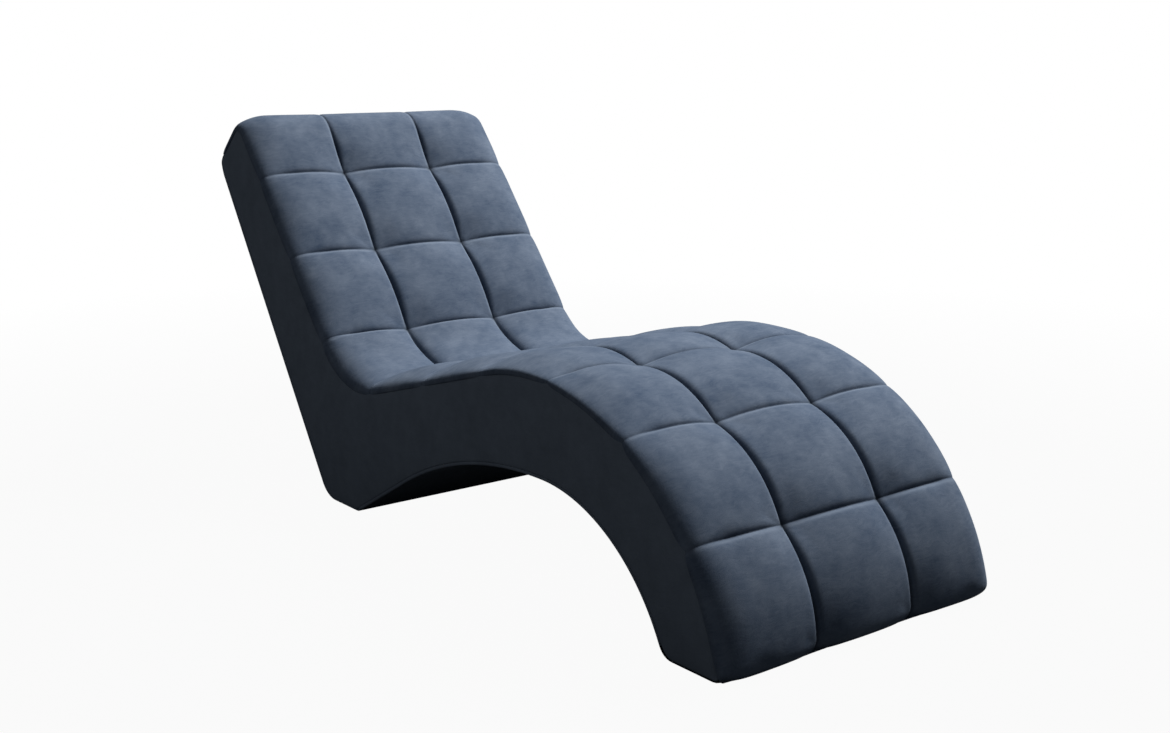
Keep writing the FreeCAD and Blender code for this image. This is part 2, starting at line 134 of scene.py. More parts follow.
@dataclass(frozen=True)
class SideOutline:
    """Sizes of the side outline at the outer skin. Heights are above the fabric's underside."""

    glide_height: float = 0.002
    foot_length: float = 0.132
    foot_slope: float = 76.6
    seat_low_y: float = 1.109
    seat_low_height: float = 0.236
    seat_slope: float = 15.1
    back_slope: float = 51.2
    back_length: float = 0.678
    head_depth: float = 0.142
    head_tilt: float = 41.0
    rear_slope: float = 56.1
    heel_length: float = 0.128
    arch_height: float = 0.210
    arch_rear_slope: float = 29.0
    arch_front_slope: float = 62.0
    edge_room: float = 0.012
    least_radius: float = 0.002
    toe_radius: float = 0.0
    knee_radius: float = 0.500
    lap_radius: float = 0.180
    head_front_radius: float = 0.034
    head_rear_radius: float = 0.022
    heel_radius: float = 0.062
    arch_heel_radius: float = 0.022
    arch_back_radius: float = 0.860
    arch_knee_radius: float = 0.342
    foot_rear_radius: float = 0.032

    def edges(self) -> list[tuple[np.ndarray, float]]:
        """Lays out the straight edges, each after the corner at its start.

        Returns:
            A point (Y, Z) and the heading of each edge.
        """
        floor = np.array([0.0, self.glide_height])
        lap = np.array([self.seat_low_y, self.glide_height + self.seat_low_height])
        head_front = lap + along(self.back_slope) * self.back_length
        head_rear = head_front + along(-self.head_tilt) * self.head_depth
        rear_heading = self.rear_slope - 180.0
        heel = meet(head_rear, rear_heading, floor, 180.0)
        arch_heel = heel + along(180.0) * self.heel_length
        crest = np.array([0.0, self.glide_height + self.arch_height])
        foot_rear = np.array([self.foot_length, self.glide_height])
        return [
            (floor, self.foot_slope),
            (lap, -self.seat_slope),
            (lap, self.back_slope),
            (head_front, -self.head_tilt),
            (head_rear, rear_heading),
            (floor, 180.0),
            (arch_heel, 180.0 - self.arch_rear_slope),
            (crest, 180.0),
            (foot_rear, 180.0 + self.arch_front_slope),
            (floor, 180.0),
        ]

    def radii(self) -> list[float]:
        """Lists the radius of each corner, before any is scaled to fit."""
        return [getattr(self, f"{corner.name.lower()}_radius") for corner in Corner]


@dataclass(frozen=True)
class Insets:
    """Distances by which a layer is set in from the outer skin."""

    top: float = 0.0
    rear: float = 0.0
    arch: float = 0.0
    floor: float = 0.0

    def by_edge(self) -> list[float]:
        """Lists the distance of each edge of the outline."""
        return [self.top] * 4 + [self.rear, self.floor] + [self.arch] * 3 + [self.floor]

    def deeper(self, extra: float, top_extra: float) -> "Insets":
        """The same layer set in further, by one amount along the top and another along the rest."""
        rest = (depth + extra for depth in (self.rear, self.arch, self.floor))
        return Insets(self.top + top_extra, *rest)


class SidePath:
    """The closed side line as straight and evenly curved stretches, measured from the toe."""

    def __init__(self, outline: SideOutline, insets: Insets = Insets()) -> None:
        """Joins the outline's edges with rounded corners.

        Args:
            outline: The sizes that the line follows.
            insets: How far the line is set in from the outer skin.
        """
        skin = outline.edges()
        count = len(skin)
        depths = insets.by_edge()
        edges = [(point + along(heading - 90.0) * depth, heading)
                 for (point, heading), depth in zip(skin, depths)]
        corners = [meet(*edges[index - 1], *edges[index]) for index in range(count)]
        turns = [(edges[index][1] - edges[index - 1][1] + 180.0) % 360.0 - 180.0
                 for index in range(count)]
        slopes = [math.tan(math.radians(abs(turn)) / 2.0) for turn in turns]
        radii = self.fitted_radii(outline, skin, slopes)
        for index, radius in enumerate(radii):
            mean = (depths[index - 1] + depths[index]) / 2.0
            if radius > 0.0:
                radii[index] = max(radius + math.copysign(mean, turns[index]), outline.least_radius)
        reaches = [radius * slope for radius, slope in zip(radii, slopes)]
        stretches = []
        self.marks: dict[Corner, tuple[float, float]] = {}
        total = 0.0
        for index in range(count):
            after = (index + 1) % count
            heading = edges[index][1]
            start = corners[index] + along(heading) * reaches[index]
            end = corners[after] - along(heading) * reaches[after]
            straight = float(np.linalg.norm(end - start))
            stretches.append((start, math.radians(heading), straight, 0.0))
            curve = radii[after] * math.radians(abs(turns[after]))
            self.marks[Corner(after)] = (total + straight, total + straight + curve)
            total += straight + curve
            if curve > 0.0:
                stretches.append((end, math.radians(heading), curve, math.radians(turns[after])))
        self.length = total
        self.points = np.array([stretch[0] for stretch in stretches])
        self.headings = np.array([stretch[1] for stretch in stretches])
        self.lengths = np.array([stretch[2] for stretch in stretches])
        self.bends = np.array([stretch[3] for stretch in stretches]) / self.lengths
        self.starts = np.concatenate([[0.0], np.cumsum(self.lengths)[:-1]])

    @staticmethod
    def fitted_radii(outline: SideOutline, skin: list[tuple[np.ndarray, float]],
                     slopes: list[float]) -> list[float]:
        """Scales the radii of the outer skin where two roundings share a short edge.

        Args:
            outline: The sizes of the outline.
            skin: Point and heading of each edge.
            slopes: Reach of each rounding for a radius of 1.

        Returns:
            The radius of each corner.
        """
        count = len(skin)
        corners = [meet(*skin[index - 1], *skin[index]) for index in range(count)]
        radii = outline.radii()
        for index in range(count):
            after = (index + 1) % count
            room = float(np.linalg.norm(corners[after] - corners[index])) - outline.edge_room
            used = radii[index] * slopes[index] + radii[after] * slopes[after]
            if used > room:
                radii[index] *= room / used
                radii[after] *= room / used
        return radii

    def shift(self, forward: float) -> None:
        """Moves the whole line along Y."""
        self.points = self.points + np.array([forward, 0.0])

    def at(self, distance: np.ndarray, height: np.ndarray | float = 0.0) -> np.ndarray:
        """Finds points over the line.

        Args:
            distance: Distances along the line from the toe.
            height: Heights above the skin, outwards.

        Returns:
            Points (Y, Z), one for each distance.
        """
        index = np.searchsorted(self.starts, distance, side="right") - 1
        index = np.clip(index, 0, len(self.starts) - 1)
        gone = distance - self.starts[index]
        half = self.bends[index] * gone / 2.0
        chord = gone * np.sinc(half / math.pi)
        direction = self.headings[index] + half
        outward = direction + half + math.pi / 2.0
        places = self.points[index]
        y = places[..., 0] + chord * np.cos(direction) + height * np.cos(outward)
        z = places[..., 1] + chord * np.sin(direction) + height * np.sin(outward)
        return np.stack([y, z], axis=-1)

    @staticmethod
    def stations(first: float, last: float, spacing: float) -> np.ndarray:
        """Even distances from one place of the line to another, about a spacing apart."""
        return np.linspace(first, last, max(2, round((last - first) / spacing) + 1))

    def counts(self, spacing: float) -> np.ndarray:
        """How many points each stretch gets when they lie about a spacing apart."""
        return np.maximum(3, np.round(self.lengths / spacing)).astype(int)

    def ring(self, counts: np.ndarray) -> np.ndarray:
        """Spreads points all round the line.

        Args:
            counts: How many lie on each stretch.

        Returns:
            The points (Y, Z), in order.
        """
        parts = [start + length * np.arange(count) / count
                 for start, length, count in zip(self.starts, self.lengths, counts)]
        return self.at(np.concatenate(parts))


def new_piece(name: str, data: bpy.types.ID) -> bpy.types.Object:
    """Links a new object to the scene.

    Args:
        name: The object's name.
        data: Its mesh, lamp or camera.

    Returns:
        The new object.
    """
    piece = bpy.data.objects.new(name, data)
    bpy.context.scene.collection.objects.link(piece)
    return piece


def select_only(piece: bpy.types.Object) -> None:
    """Selects one object alone and makes it the active one.

    Args:
        piece: The object.
    """
    bpy.ops.object.select_all(action="DESELECT")
    piece.select_set(True)
    bpy.context.view_layer.objects.active = piece


def edit_all(piece: bpy.types.Object, operator: Callable[..., set[str]],
             **settings: float | bool) -> None:
    """Runs a mesh operator on all of a piece.

    Args:
        piece: A mesh object.
        operator: One of bpy.ops.mesh.
        settings: The operator's settings.
    """
    select_only(piece)
    bpy.ops.object.mode_set(mode="EDIT")
    bpy.ops.mesh.select_all(action="SELECT")
    operator(**settings)
    bpy.ops.object.mode_set(mode="OBJECT")


def points_of(piece: bpy.types.Object) -> np.ndarray:
    """Reads the vertices of a mesh object.

    Args:
        piece: The object.

    Returns:
        Rows of X, Y and Z.
    """
    flat = np.zeros(len(piece.data.vertices) * 3, np.float32)
    piece.data.vertices.foreach_get("co", flat)
    return flat.reshape(-1, 3).astype(float)


def place_points(piece: bpy.types.Object, points: np.ndarray) -> None:
    """Writes the vertices of a mesh object."""
    piece.data.vertices.foreach_set("co", points.astype(np.float32).ravel())
    piece.data.update()


def turn_outwards(piece: bpy.types.Object) -> None:
    """Points all faces of a closed mesh outwards and shades them smooth."""
    edit_all(piece, bpy.ops.mesh.normals_make_consistent, inside=False)
    bpy.ops.object.shade_smooth()


def swept(name: str, rings: np.ndarray, cut: np.ndarray) -> bpy.types.Object:
    """Makes a closed mesh through rings of points, with a cap at each end.

    Args:
        name: The piece's name.
        rings: Points, as stations x places round the ring x 3.
        cut: Places on the flat cloth, as stations x (places + 1) x 2.

    Returns:
        The new object.
    """
    count, size = rings.shape[:2]
    index = np.arange(count * size).reshape(count, size)
    here = index[:-1]
    ahead = index[1:]
    quads = np.stack([here, np.roll(here, -1, 1), np.roll(ahead, -1, 1), ahead], axis=2)
    quad_cut = np.stack([cut[:-1, :-1], cut[:-1, 1:], cut[1:, 1:], cut[1:, :-1]], axis=2)
    faces = quads.reshape(-1, 4).tolist() + [index[0][::-1].tolist(), index[-1].tolist()]
    corners = np.concatenate([quad_cut.reshape(-1, 2), cut[0, :-1][::-1], cut[-1, :-1]])
    mesh = bpy.data.meshes.new(name)
    mesh.from_pydata(rings.reshape(-1, 3).tolist(), [], faces)
    mesh.uv_layers.new(name=CUT).data.foreach_set("uv", corners.astype(np.float32).ravel())
    piece = new_piece(name, mesh)
    turn_outwards(piece)
    return piece


def merged_copy(name: str, node: str) -> bpy.types.Object:
    """Copies a CAD node's mesh to a new object and joins its loose triangles.

    Args:
        name: The new piece's name.
        node: The CAD node.

    Returns:
        The new object.
    """
    piece = new_piece(name, frame["nodes"][node].data.copy())
    piece.data.materials.clear()
    edit_all(piece, bpy.ops.mesh.remove_doubles, threshold=MERGE_REACH)
    return piece


def apply_modifiers(piece: bpy.types.Object) -> None:
    """Applies every modifier of a piece, from first to last.

    Args:
        piece: The piece.
    """
    select_only(piece)
    for modifier in list(piece.modifiers):
        bpy.ops.object.modifier_apply(modifier=modifier.name)


def subdivide(piece: bpy.types.Object) -> None:
    """Divides every face of a piece once, with rounding.

    Args:
        piece: The piece.
    """
    finer = piece.modifiers.new("finer", "SUBSURF")
    finer.levels = 1
    finer.render_levels = 1
    apply_modifiers(piece)


@dataclass(frozen=True)
class Swelling:
    """A short cloth run in which pressure swells a padded piece."""

    pressure: float = 4.0
    frames: int = 20
    furthest: float = 0.009
    tension: float = 15.0
    tension_per_shear: float = 3.0
    bending: float = 0.5
    weight: float = 0.3
    steps: int = 3

    def apply(self, piece: bpy.types.Object, held: np.ndarray) -> None:
        """Swells a piece and keeps the result in its mesh.

        Args:
            piece: A closed mesh.
            held: For each vertex, whether stitching or the frame holds it.
        """
        before = points_of(piece)
        group = piece.vertex_groups.new(name="held")
        group.add(np.flatnonzero(held).tolist(), 1.0, "REPLACE")
        cloth = piece.modifiers.new("swelling", "CLOTH")
        settings = cloth.settings
        settings.vertex_group_mass = group.name
        settings.quality = self.steps
        settings.mass = self.weight
        settings.tension_stiffness = self.tension
        settings.compression_stiffness = self.tension
        settings.shear_stiffness = self.tension / self.tension_per_shear
        settings.bending_stiffness = self.bending
        settings.use_pressure = True
        settings.uniform_pressure_force = self.pressure
        settings.effector_weights.gravity = 0.0
        cloth.collision_settings.use_collision = False
        cloth.point_cache.frame_start = 1
        cloth.point_cache.frame_end = self.frames
        scene = bpy.context.scene
        for number in range(1, self.frames + 1):
            scene.frame_set(number)
        apply_modifiers(piece)
        scene.frame_set(1)
        piece.vertex_groups.clear()
        moved = points_of(piece) - before
        reach = np.maximum(np.linalg.norm(moved, axis=1, keepdims=True), TINY)
        held_back = moved * self.furthest * np.tanh(reach / self.furthest) / reach
        place_points(piece, before + held_back)
        LOG.info("%s swelled by up to %.1f mm", piece.name, 1000.0 * float(reach.max()))


class Sock:
    """An output socket of a shader node that takes part in Python expressions."""

    def __init__(self, graph: "Graph", socket: bpy.types.NodeSocket) -> None:
        """Keeps the socket and the graph that holds it."""
        self.graph = graph
        self.socket = socket

    def math(self, operation: str, *others: "Sock | float") -> "Sock":
        """Adds a Math node with this socket as its first value."""
        return self.graph.math(operation, self, *others)

    def wave(self, turn: float) -> "Sock":
        """Sine of this times a number, moved to the range from 0 to 1."""
        return (self * turn).math("SINE") * 0.5 + 0.5

    def sway(self, strength: float) -> "Sock":
        """How far a noise is from its mean, times a strength."""
        return (self - MEAN) * strength

    def __add__(self, other: "Sock | float") -> "Sock":
        """This plus the other."""
        return self.math("ADD", other)

    def __radd__(self, other: float) -> "Sock":
        """The other plus this."""
        return self.math("ADD", other)

    def __sub__(self, other: "Sock | float") -> "Sock":
        """This less the other."""
        return self.math("SUBTRACT", other)

    def __rsub__(self, other: float) -> "Sock":
        """The other less this."""
        return self.graph.math("SUBTRACT", other, self)

    def __mul__(self, other: "Sock | float") -> "Sock":
        """This times the other."""
        return self.math("MULTIPLY", other)

    def __rmul__(self, other: float) -> "Sock":
        """The other times this."""
        return self.math("MULTIPLY", other)


@dataclass(frozen=True)
class Grain:
    """How coarse a noise is, in grains per metre, and how many finer layers it has, how strong."""

    scale: float
    detail: float = 2.0
    roughness: float = 0.5


class Graph:
    """The node tree of one material or of the world."""

    def __init__(self, tree: bpy.types.NodeTree) -> None:
        """Empties the tree."""
        self.tree = tree
        tree.nodes.clear()

    def node(self, kind: str, settings: dict[str, object] | None = None,
             sockets: dict[str | int, object] | None = None) -> bpy.types.Node:
        """Adds a node.

        Args:
            kind: The node's type.
            settings: Attributes of the node, set before its sockets.
            sockets: Values or linked sockets by the name or number of the input.

        Returns:
            The new node.
        """
        node = self.tree.nodes.new(kind)
        for name, value in (settings or {}).items():
            setattr(node, name, value)
        for name, value in (sockets or {}).items():
            if isinstance(value, Sock):
                self.tree.links.new(value.socket, node.inputs[name])
            elif isinstance(value, tuple) and node.inputs[name].type == "RGBA":
                node.inputs[name].default_value = (*value, 1.0)
            else:
                node.inputs[name].default_value = value
        return node

    def add(self, kind: str, settings: dict[str, object] | None = None,
            sockets: dict[str | int, object] | None = None, output: str | int = 0) -> Sock:
        """Adds a node and takes one of its outputs, by name or number."""
        return Sock(self, self.node(kind, settings, sockets).outputs[output])

    def math(self, operation: str, *values: Sock | float) -> Sock:
        """Adds a Math node on up to three values."""
        return self.add("ShaderNodeMath", {"operation": operation}, dict(enumerate(values)))

    def place(self) -> Sock:
        """Object coordinates, in metres."""
        return self.add("ShaderNodeTexCoord", output="Object")

    def cut(self) -> Sock:
        """Places on the flat cloth, in metres."""
        return self.add("ShaderNodeUVMap", {"uv_map": CUT})

    def mark(self, name: str) -> Sock:
        """A value that the mesh keeps in each vertex."""
        return self.add("ShaderNodeAttribute", {"attribute_name": name}, None, "Fac")

    def stretch(self, vector: Sock, scale: Triple) -> Sock:
        """Scales a vector along its three axes."""
        return self.add("ShaderNodeVectorMath", {"operation": "MULTIPLY"}, {0: vector, 1: scale})

    def axes(self, vector: Sock) -> tuple[Sock, Sock, Sock]:
        """Splits a vector into its X, Y and Z."""
        outputs = self.node("ShaderNodeSeparateXYZ", None, {0: vector}).outputs
        return Sock(self, outputs["X"]), Sock(self, outputs["Y"]), Sock(self, outputs["Z"])

    def noise(self, vector: Sock, grain: Grain, output: str = "Fac") -> Sock:
        """Adds soft noise, from 0 to 1 and about 0.5 on average.

        Args:
            vector: Where the noise is looked up.
            grain: How coarse it is.
            output: "Fac" for one value, "Color" for three.

        Returns:
            The noise.
        """
        sockets = {
            "Vector": vector,
            "Scale": grain.scale,
            "Detail": grain.detail,
            "Roughness": grain.roughness,
        }
        return self.add("ShaderNodeTexNoise", None, sockets, output)

    def mix(self, share: Sock | float, first: Sock | Colour, second: Sock | Colour) -> Sock:
        """Mixes two colours.

        Args:
            share: How much of the second shows, from 0 to 1.
            first: A colour.
            second: Another.

        Returns:
            The mixed colour.
        """
        settings = {"data_type": "RGBA", "clamp_factor": True}
        # On colours, the node's inputs are 0, 6 and 7, and its output is 2.
        return self.add("ShaderNodeMix", settings, {0: share, 6: first, 7: second}, 2)

    def bump(self, height: Sock, strength: float, distance: float) -> Sock:
        """Turns a height into a bumped normal."""
        sockets = {"Height": height, "Strength": strength, "Distance": distance}
        return self.add("ShaderNodeBump", None, sockets)

    def surface(self, shader: Sock, output: str = "ShaderNodeOutputMaterial") -> None:
        """Ends the tree in a shader."""
        self.node(output, None, {"Surface": shader})

    def principled(self, sockets: dict[str | int, object]) -> None:
        """Ends the tree in a Principled shader."""
        self.surface(self.add("ShaderNodeBsdfPrincipled", None, sockets))


def new_graph(name: str) -> tuple[bpy.types.Material, Graph]:
    """Makes an empty material.

    Args:
        name: Its name.

    Returns:
        The material and its graph.
    """
    material = bpy.data.materials.new(name)
    material.use_nodes = True
    return material, Graph(material.node_tree)


@dataclass(frozen=True)
class Velvet:
    """Short-napped cloth: streaked, blotched where it was stroked, with painted shade in the seams
    and painted highlight beside them.
    """

    name: str
    dark: Colour
    light: Colour
    nap: Nap
    # Near-black painted shade for the seams, the crossing dimples and the groove at the side edges.
    seam: Colour = (0.012, 0.015, 0.020)
    # Light colour for the painted highlight on the fold beside each seam.
    fold: Colour = (0.210, 0.250, 0.310)
    stray: Grain = Grain(34.0, 3.0)
    streak: Grain = Grain(1.0, 3.0, 0.65)
    blotch: Grain = Grain(14.0, 4.0, 0.6)
    stroke: Grain = Grain(38.0, 3.0, 0.6)
    pile: Grain = Grain(900.0, 2.0, 0.7)
    stray_reach: float = 0.030
    streaks: float = 0.6
    blotches: float = 0.9
    strokes: float = 0.6
    tufts: float = 0.4
    middle_tone: float = 0.5
    highlight_share: float = 0.4
    seam_shade_share: float = 0.75
    roughness: float = 0.82
    rough_blotches: float = 0.12
    rough_tufts: float = 0.1
    sheen: float = 0.10
    sheen_roughness: float = 0.45
    sheen_colour: Colour = (0.62, 0.74, 0.90)
    pile_height: float = 0.5
    streak_height: float = 0.5
    relief: float = 0.35
    relief_depth: float = 0.0012

    def material(self) -> bpy.types.Material:
        """Makes the material.

        Returns:
            The new material.
        """
        material, graph = new_graph(self.name)
        place = graph.place()
        cloth = graph.cut() if self.nap is Nap.CUT else place
        stray = graph.stretch(graph.noise(place, self.stray, "Color"), (self.stray_reach,) * 3)
        strayed = graph.add("ShaderNodeVectorMath", {"operation": "ADD"}, {0: cloth, 1: stray})
        streak = graph.noise(graph.stretch(strayed, self.nap.value), self.streak)
        blotch = graph.noise(place, self.blotch)
        stroke = graph.noise(place, self.stroke)
        pile = graph.noise(place, self.pile)
        tone = streak.sway(self.streaks) + blotch.sway(self.blotches)
        tone = tone + stroke.sway(self.strokes) + pile.sway(self.tufts) + self.middle_tone
        colour = graph.mix(tone, self.dark, self.light)
        if self.nap is Nap.CUT:
            # Painted highlight on the fold beside each seam, as far as the mesh marks it.
            colour = graph.mix(graph.mark(LIP_HIGHLIGHT) * self.highlight_share, colour, self.fold)
            # Painted shade in the seams, as far as the mesh marks it.
            colour = graph.mix(graph.mark(SEAM_SHADE) * self.seam_shade_share, colour, self.seam)
        rough = blotch.sway(self.rough_blotches) + pile.sway(self.rough_tufts)
        height = pile * self.pile_height + streak * self.streak_height
        graph.principled({
            "Base Color": colour,
            "Roughness": rough + self.roughness,
            "Specular IOR Level": 0.0,
            "Sheen Weight": self.sheen,
            "Sheen Roughness": self.sheen_roughness,
            "Sheen Tint": self.sheen_colour,
            "Normal": graph.bump(height, self.relief, self.relief_depth),
        })
        return material


@dataclass(frozen=True)
class LiningCloth:
    """Dark plain-woven lining."""

    name: str
    warp: Colour
    weft: Colour
    pitch: float = 0.0012
    slub: Grain = Grain(1.0)
    slub_lines: Triple = (14.0, 420.0, 1.0)
    fade: Grain = Grain(7.0, 3.0)
    weave_share: float = 0.6
    slub_share: float = 0.4
    fade_from: float = 0.35
    fade_share: float = 0.6
    roughness: float = 0.86
    rough_slubs: float = 0.1
    sheen: float = 0.05
    weave_height: float = 0.7
    slub_height: float = 0.3
    relief: float = 0.4
    relief_depth: float = 0.0004

    def material(self) -> bpy.types.Material:
        """Makes the material.

        Returns:
            The new material.
        """
        material, graph = new_graph(self.name)
        cut = graph.cut()
        across, along_cloth, _ = graph.axes(cut)
        turn = 2.0 * math.pi / self.pitch
        weave = (across * turn).math("SINE") * (along_cloth * turn).math("SINE") * 0.5 + 0.5
        slub = graph.noise(graph.stretch(cut, self.slub_lines), self.slub)
        fade = graph.noise(graph.place(), self.fade)
        share = weave * self.weave_share + slub * self.slub_share
        colour = graph.mix(share, self.warp, self.weft)
        colour = graph.mix((fade - self.fade_from) * self.fade_share, colour, self.warp)
        height = weave * self.weave_height + slub * self.slub_height
        graph.principled({
            "Base Color": colour,
            "Roughness": self.roughness + slub.sway(self.rough_slubs),
            "Specular IOR Level": 0.0,
            "Sheen Weight": self.sheen,
            "Normal": graph.bump(height, self.relief, self.relief_depth),
        })
        return material


@dataclass(frozen=True)
class SawnWood:
    """Wood with its grain along one axis, and plies through its thickness where it has any."""

    name: str
    early: Colour
    late: Colour
    grain: Triple
    plies: float = 0.0
    rings: Grain = Grain(1.0, 4.0, 0.6)
    pores: Grain = Grain(9.0)
    stain: Grain = Grain(5.0)
    band_turn: float = 34.0
    band_share: float = 0.45
    ring_share: float = 0.35
    stain_share: float = 0.2
    ply_share: float = 0.16
    pore_from: float = 0.62
    pore_share: float = 2.5
    roughness: float = 0.62
    rough_pores: float = 0.25
    gloss: float = 0.3
    pore_height: float = 0.6
    band_height: float = 0.4
    relief: float = 0.3
    relief_depth: float = 0.0006

    def material(self) -> bpy.types.Material:
        """Makes the material.

        Returns:
            The new material.
        """
        material, graph = new_graph(self.name)
        place = graph.place()
        fibre = graph.stretch(place, self.grain)
        rings = graph.noise(fibre, self.rings)
        pores = graph.noise(fibre, self.pores)
        stain = graph.noise(place, self.stain)
        bands = rings.wave(self.band_turn)
        tone = bands * self.band_share + rings * self.ring_share + stain * self.stain_share
        if self.plies:
            layer = (graph.axes(place)[0] * (math.pi / self.plies)).math("SINE")
            tone = tone + layer.math("GREATER_THAN", 0.0).sway(self.ply_share)
        colour = graph.mix(tone, self.early, self.late)
        colour = graph.mix((pores - self.pore_from) * self.pore_share, colour, self.late)
        height = pores * self.pore_height + bands * self.band_height
        graph.principled({
            "Base Color": colour,
            "Roughness": self.roughness + pores.sway(self.rough_pores),
            "Specular IOR Level": self.gloss,
            "Normal": graph.bump(height, self.relief, self.relief_depth),
        })
        return material


@dataclass(frozen=True)
class BeltWeave:
    """Elastic belt woven with coloured lines along it."""

    name: str
    ground: Colour
    line: Colour
    pitch: float = 0.0024
    line_pitch: float = 0.02
    line_level: float = 0.82
    line_share: float = 0.8
    fuzz: Grain = Grain(700.0)
    fuzz_from: float = 0.4
    fuzz_share: float = 0.5
    roughness: float = 0.8
    rough_fuzz: float = 0.2
    gloss: float = 0.15
    weft_height: float = 0.5
    warp_height: float = 0.3
    fuzz_height: float = 0.2
    relief: float = 0.5
    relief_depth: float = 0.0005

    def material(self) -> bpy.types.Material:
        """Makes the material.

        Returns:
            The new material.
        """
        material, graph = new_graph(self.name)
        place = graph.place()
        across, forward, up = graph.axes(place)
        turn = 2.0 * math.pi / self.pitch
        reach = forward + up
        weft = across.wave(turn)
        warp = reach.wave(turn)
        lines = (reach * (2.0 * math.pi / self.line_pitch)).math("SINE")
        lines = lines.math("GREATER_THAN", self.line_level)
        fuzz = graph.noise(place, self.fuzz)
        colour = graph.mix(lines * self.line_share, self.ground, self.line)
        colour = graph.mix((fuzz - self.fuzz_from) * self.fuzz_share, colour, self.line)
        height = weft * self.weft_height + warp * self.warp_height + fuzz * self.fuzz_height
        graph.principled({
            "Base Color": colour,
            "Roughness": self.roughness + fuzz.sway(self.rough_fuzz),
            "Specular IOR Level": self.gloss,
            "Normal": graph.bump(height, self.relief, self.relief_depth),
        })
        return material


@dataclass(frozen=True)
class Fibre:
    """Matted or moulded stuff with specks and cells: felt, foam, hardboard or plastic."""

    name: str
    base: Colour
    speck: Colour
    speck_scale: float
    roughness: float
    relief_depth: float
    cells: float = 0.0
    speck_detail: float = 3.0
    speck_strength: float = 0.65
    cloud: Grain = Grain(14.0)
    speck_share: float = 1.6
    speck_drop: float = 0.45
    cloud_share: float = 0.5
    pit_share: float = 0.5
    pit_drop: float = 0.2
    pit_specks: float = 0.4
    rough_specks: float = 0.2
    gloss: float = 0.2
    relief: float = 0.4

    def material(self) -> bpy.types.Material:
        """Makes the material.

        Returns:
            The new material.
        """
        material, graph = new_graph(self.name)
        place = graph.place()
        grain = Grain(self.speck_scale, self.speck_detail, self.speck_strength)
        speck = graph.noise(place, grain)
        cloud = graph.noise(place, self.cloud)
        height = speck
        share = speck * self.speck_share - self.speck_drop + cloud.sway(self.cloud_share)
        if self.cells:
            sockets = {"Vector": place, "Scale": self.cells}
            pit = graph.add("ShaderNodeTexVoronoi", None, sockets, "Distance")
            height = speck * self.pit_specks + pit
            share = share + pit * self.pit_share - self.pit_drop
        graph.principled({
            "Base Color": graph.mix(share, self.base, self.speck),
            "Roughness": self.roughness + speck.sway(self.rough_specks),
            "Specular IOR Level": self.gloss,
            "Normal": graph.bump(height, self.relief, self.relief_depth),
        })
        return material


def dress(piece: bpy.types.Object, material: bpy.types.Material) -> None:
    """Gives a whole piece one material."""
    piece.data.materials.clear()
    piece.data.materials.append(material)


def settle(piece: bpy.types.Object, slot: str, fill: float, *nodes: str) -> None:
    """Sets a padded piece on the lounger in the place of CAD nodes.

    Args:
        piece: The finished piece.
        slot: The record's material slot; not used.
        fill: How tightly it is stuffed, from 0 to 1; not used.
        nodes: The nodes that it stands for.
    """
    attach(piece, "root")
    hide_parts(*nodes)
    LOG.info("%s: %d faces", piece.name, len(piece.data.polygons))


def lip(distance: np.ndarray, reach: np.ndarray | float) -> np.ndarray:
    """Rise of a rounded lip, from 0 and upright at its foot to 1 and level at its reach."""
    share = np.clip(distance / reach, 0.0, 1.0)
    return np.sqrt(1.0 - (1.0 - share) ** 2)


def flat_cut(rings: np.ndarray, distance: np.ndarray, middle: int) -> np.ndarray:
    """Lays rings of points out flat, as the cloth was cut.

    Args:
        rings: The points of a piece, as stations x places x 3.
        distance: Distance of each ring along the side line.
        middle: Which place of a ring lies in the middle of its outer face.

    Returns:
        Places on the flat cloth, as stations x (places + 1) x 2.
    """
    closed = np.concatenate([rings, rings[:, :1]], axis=1)
    steps = np.linalg.norm(np.diff(closed, axis=1), axis=2).mean(axis=0)
    places = np.concatenate([[0.0], np.cumsum(steps)])
    grid = np.broadcast_to((places - places[middle])[None, :], closed.shape[:2])
    return np.stack([grid, np.broadcast_to(distance[:, None], grid.shape)], axis=2)


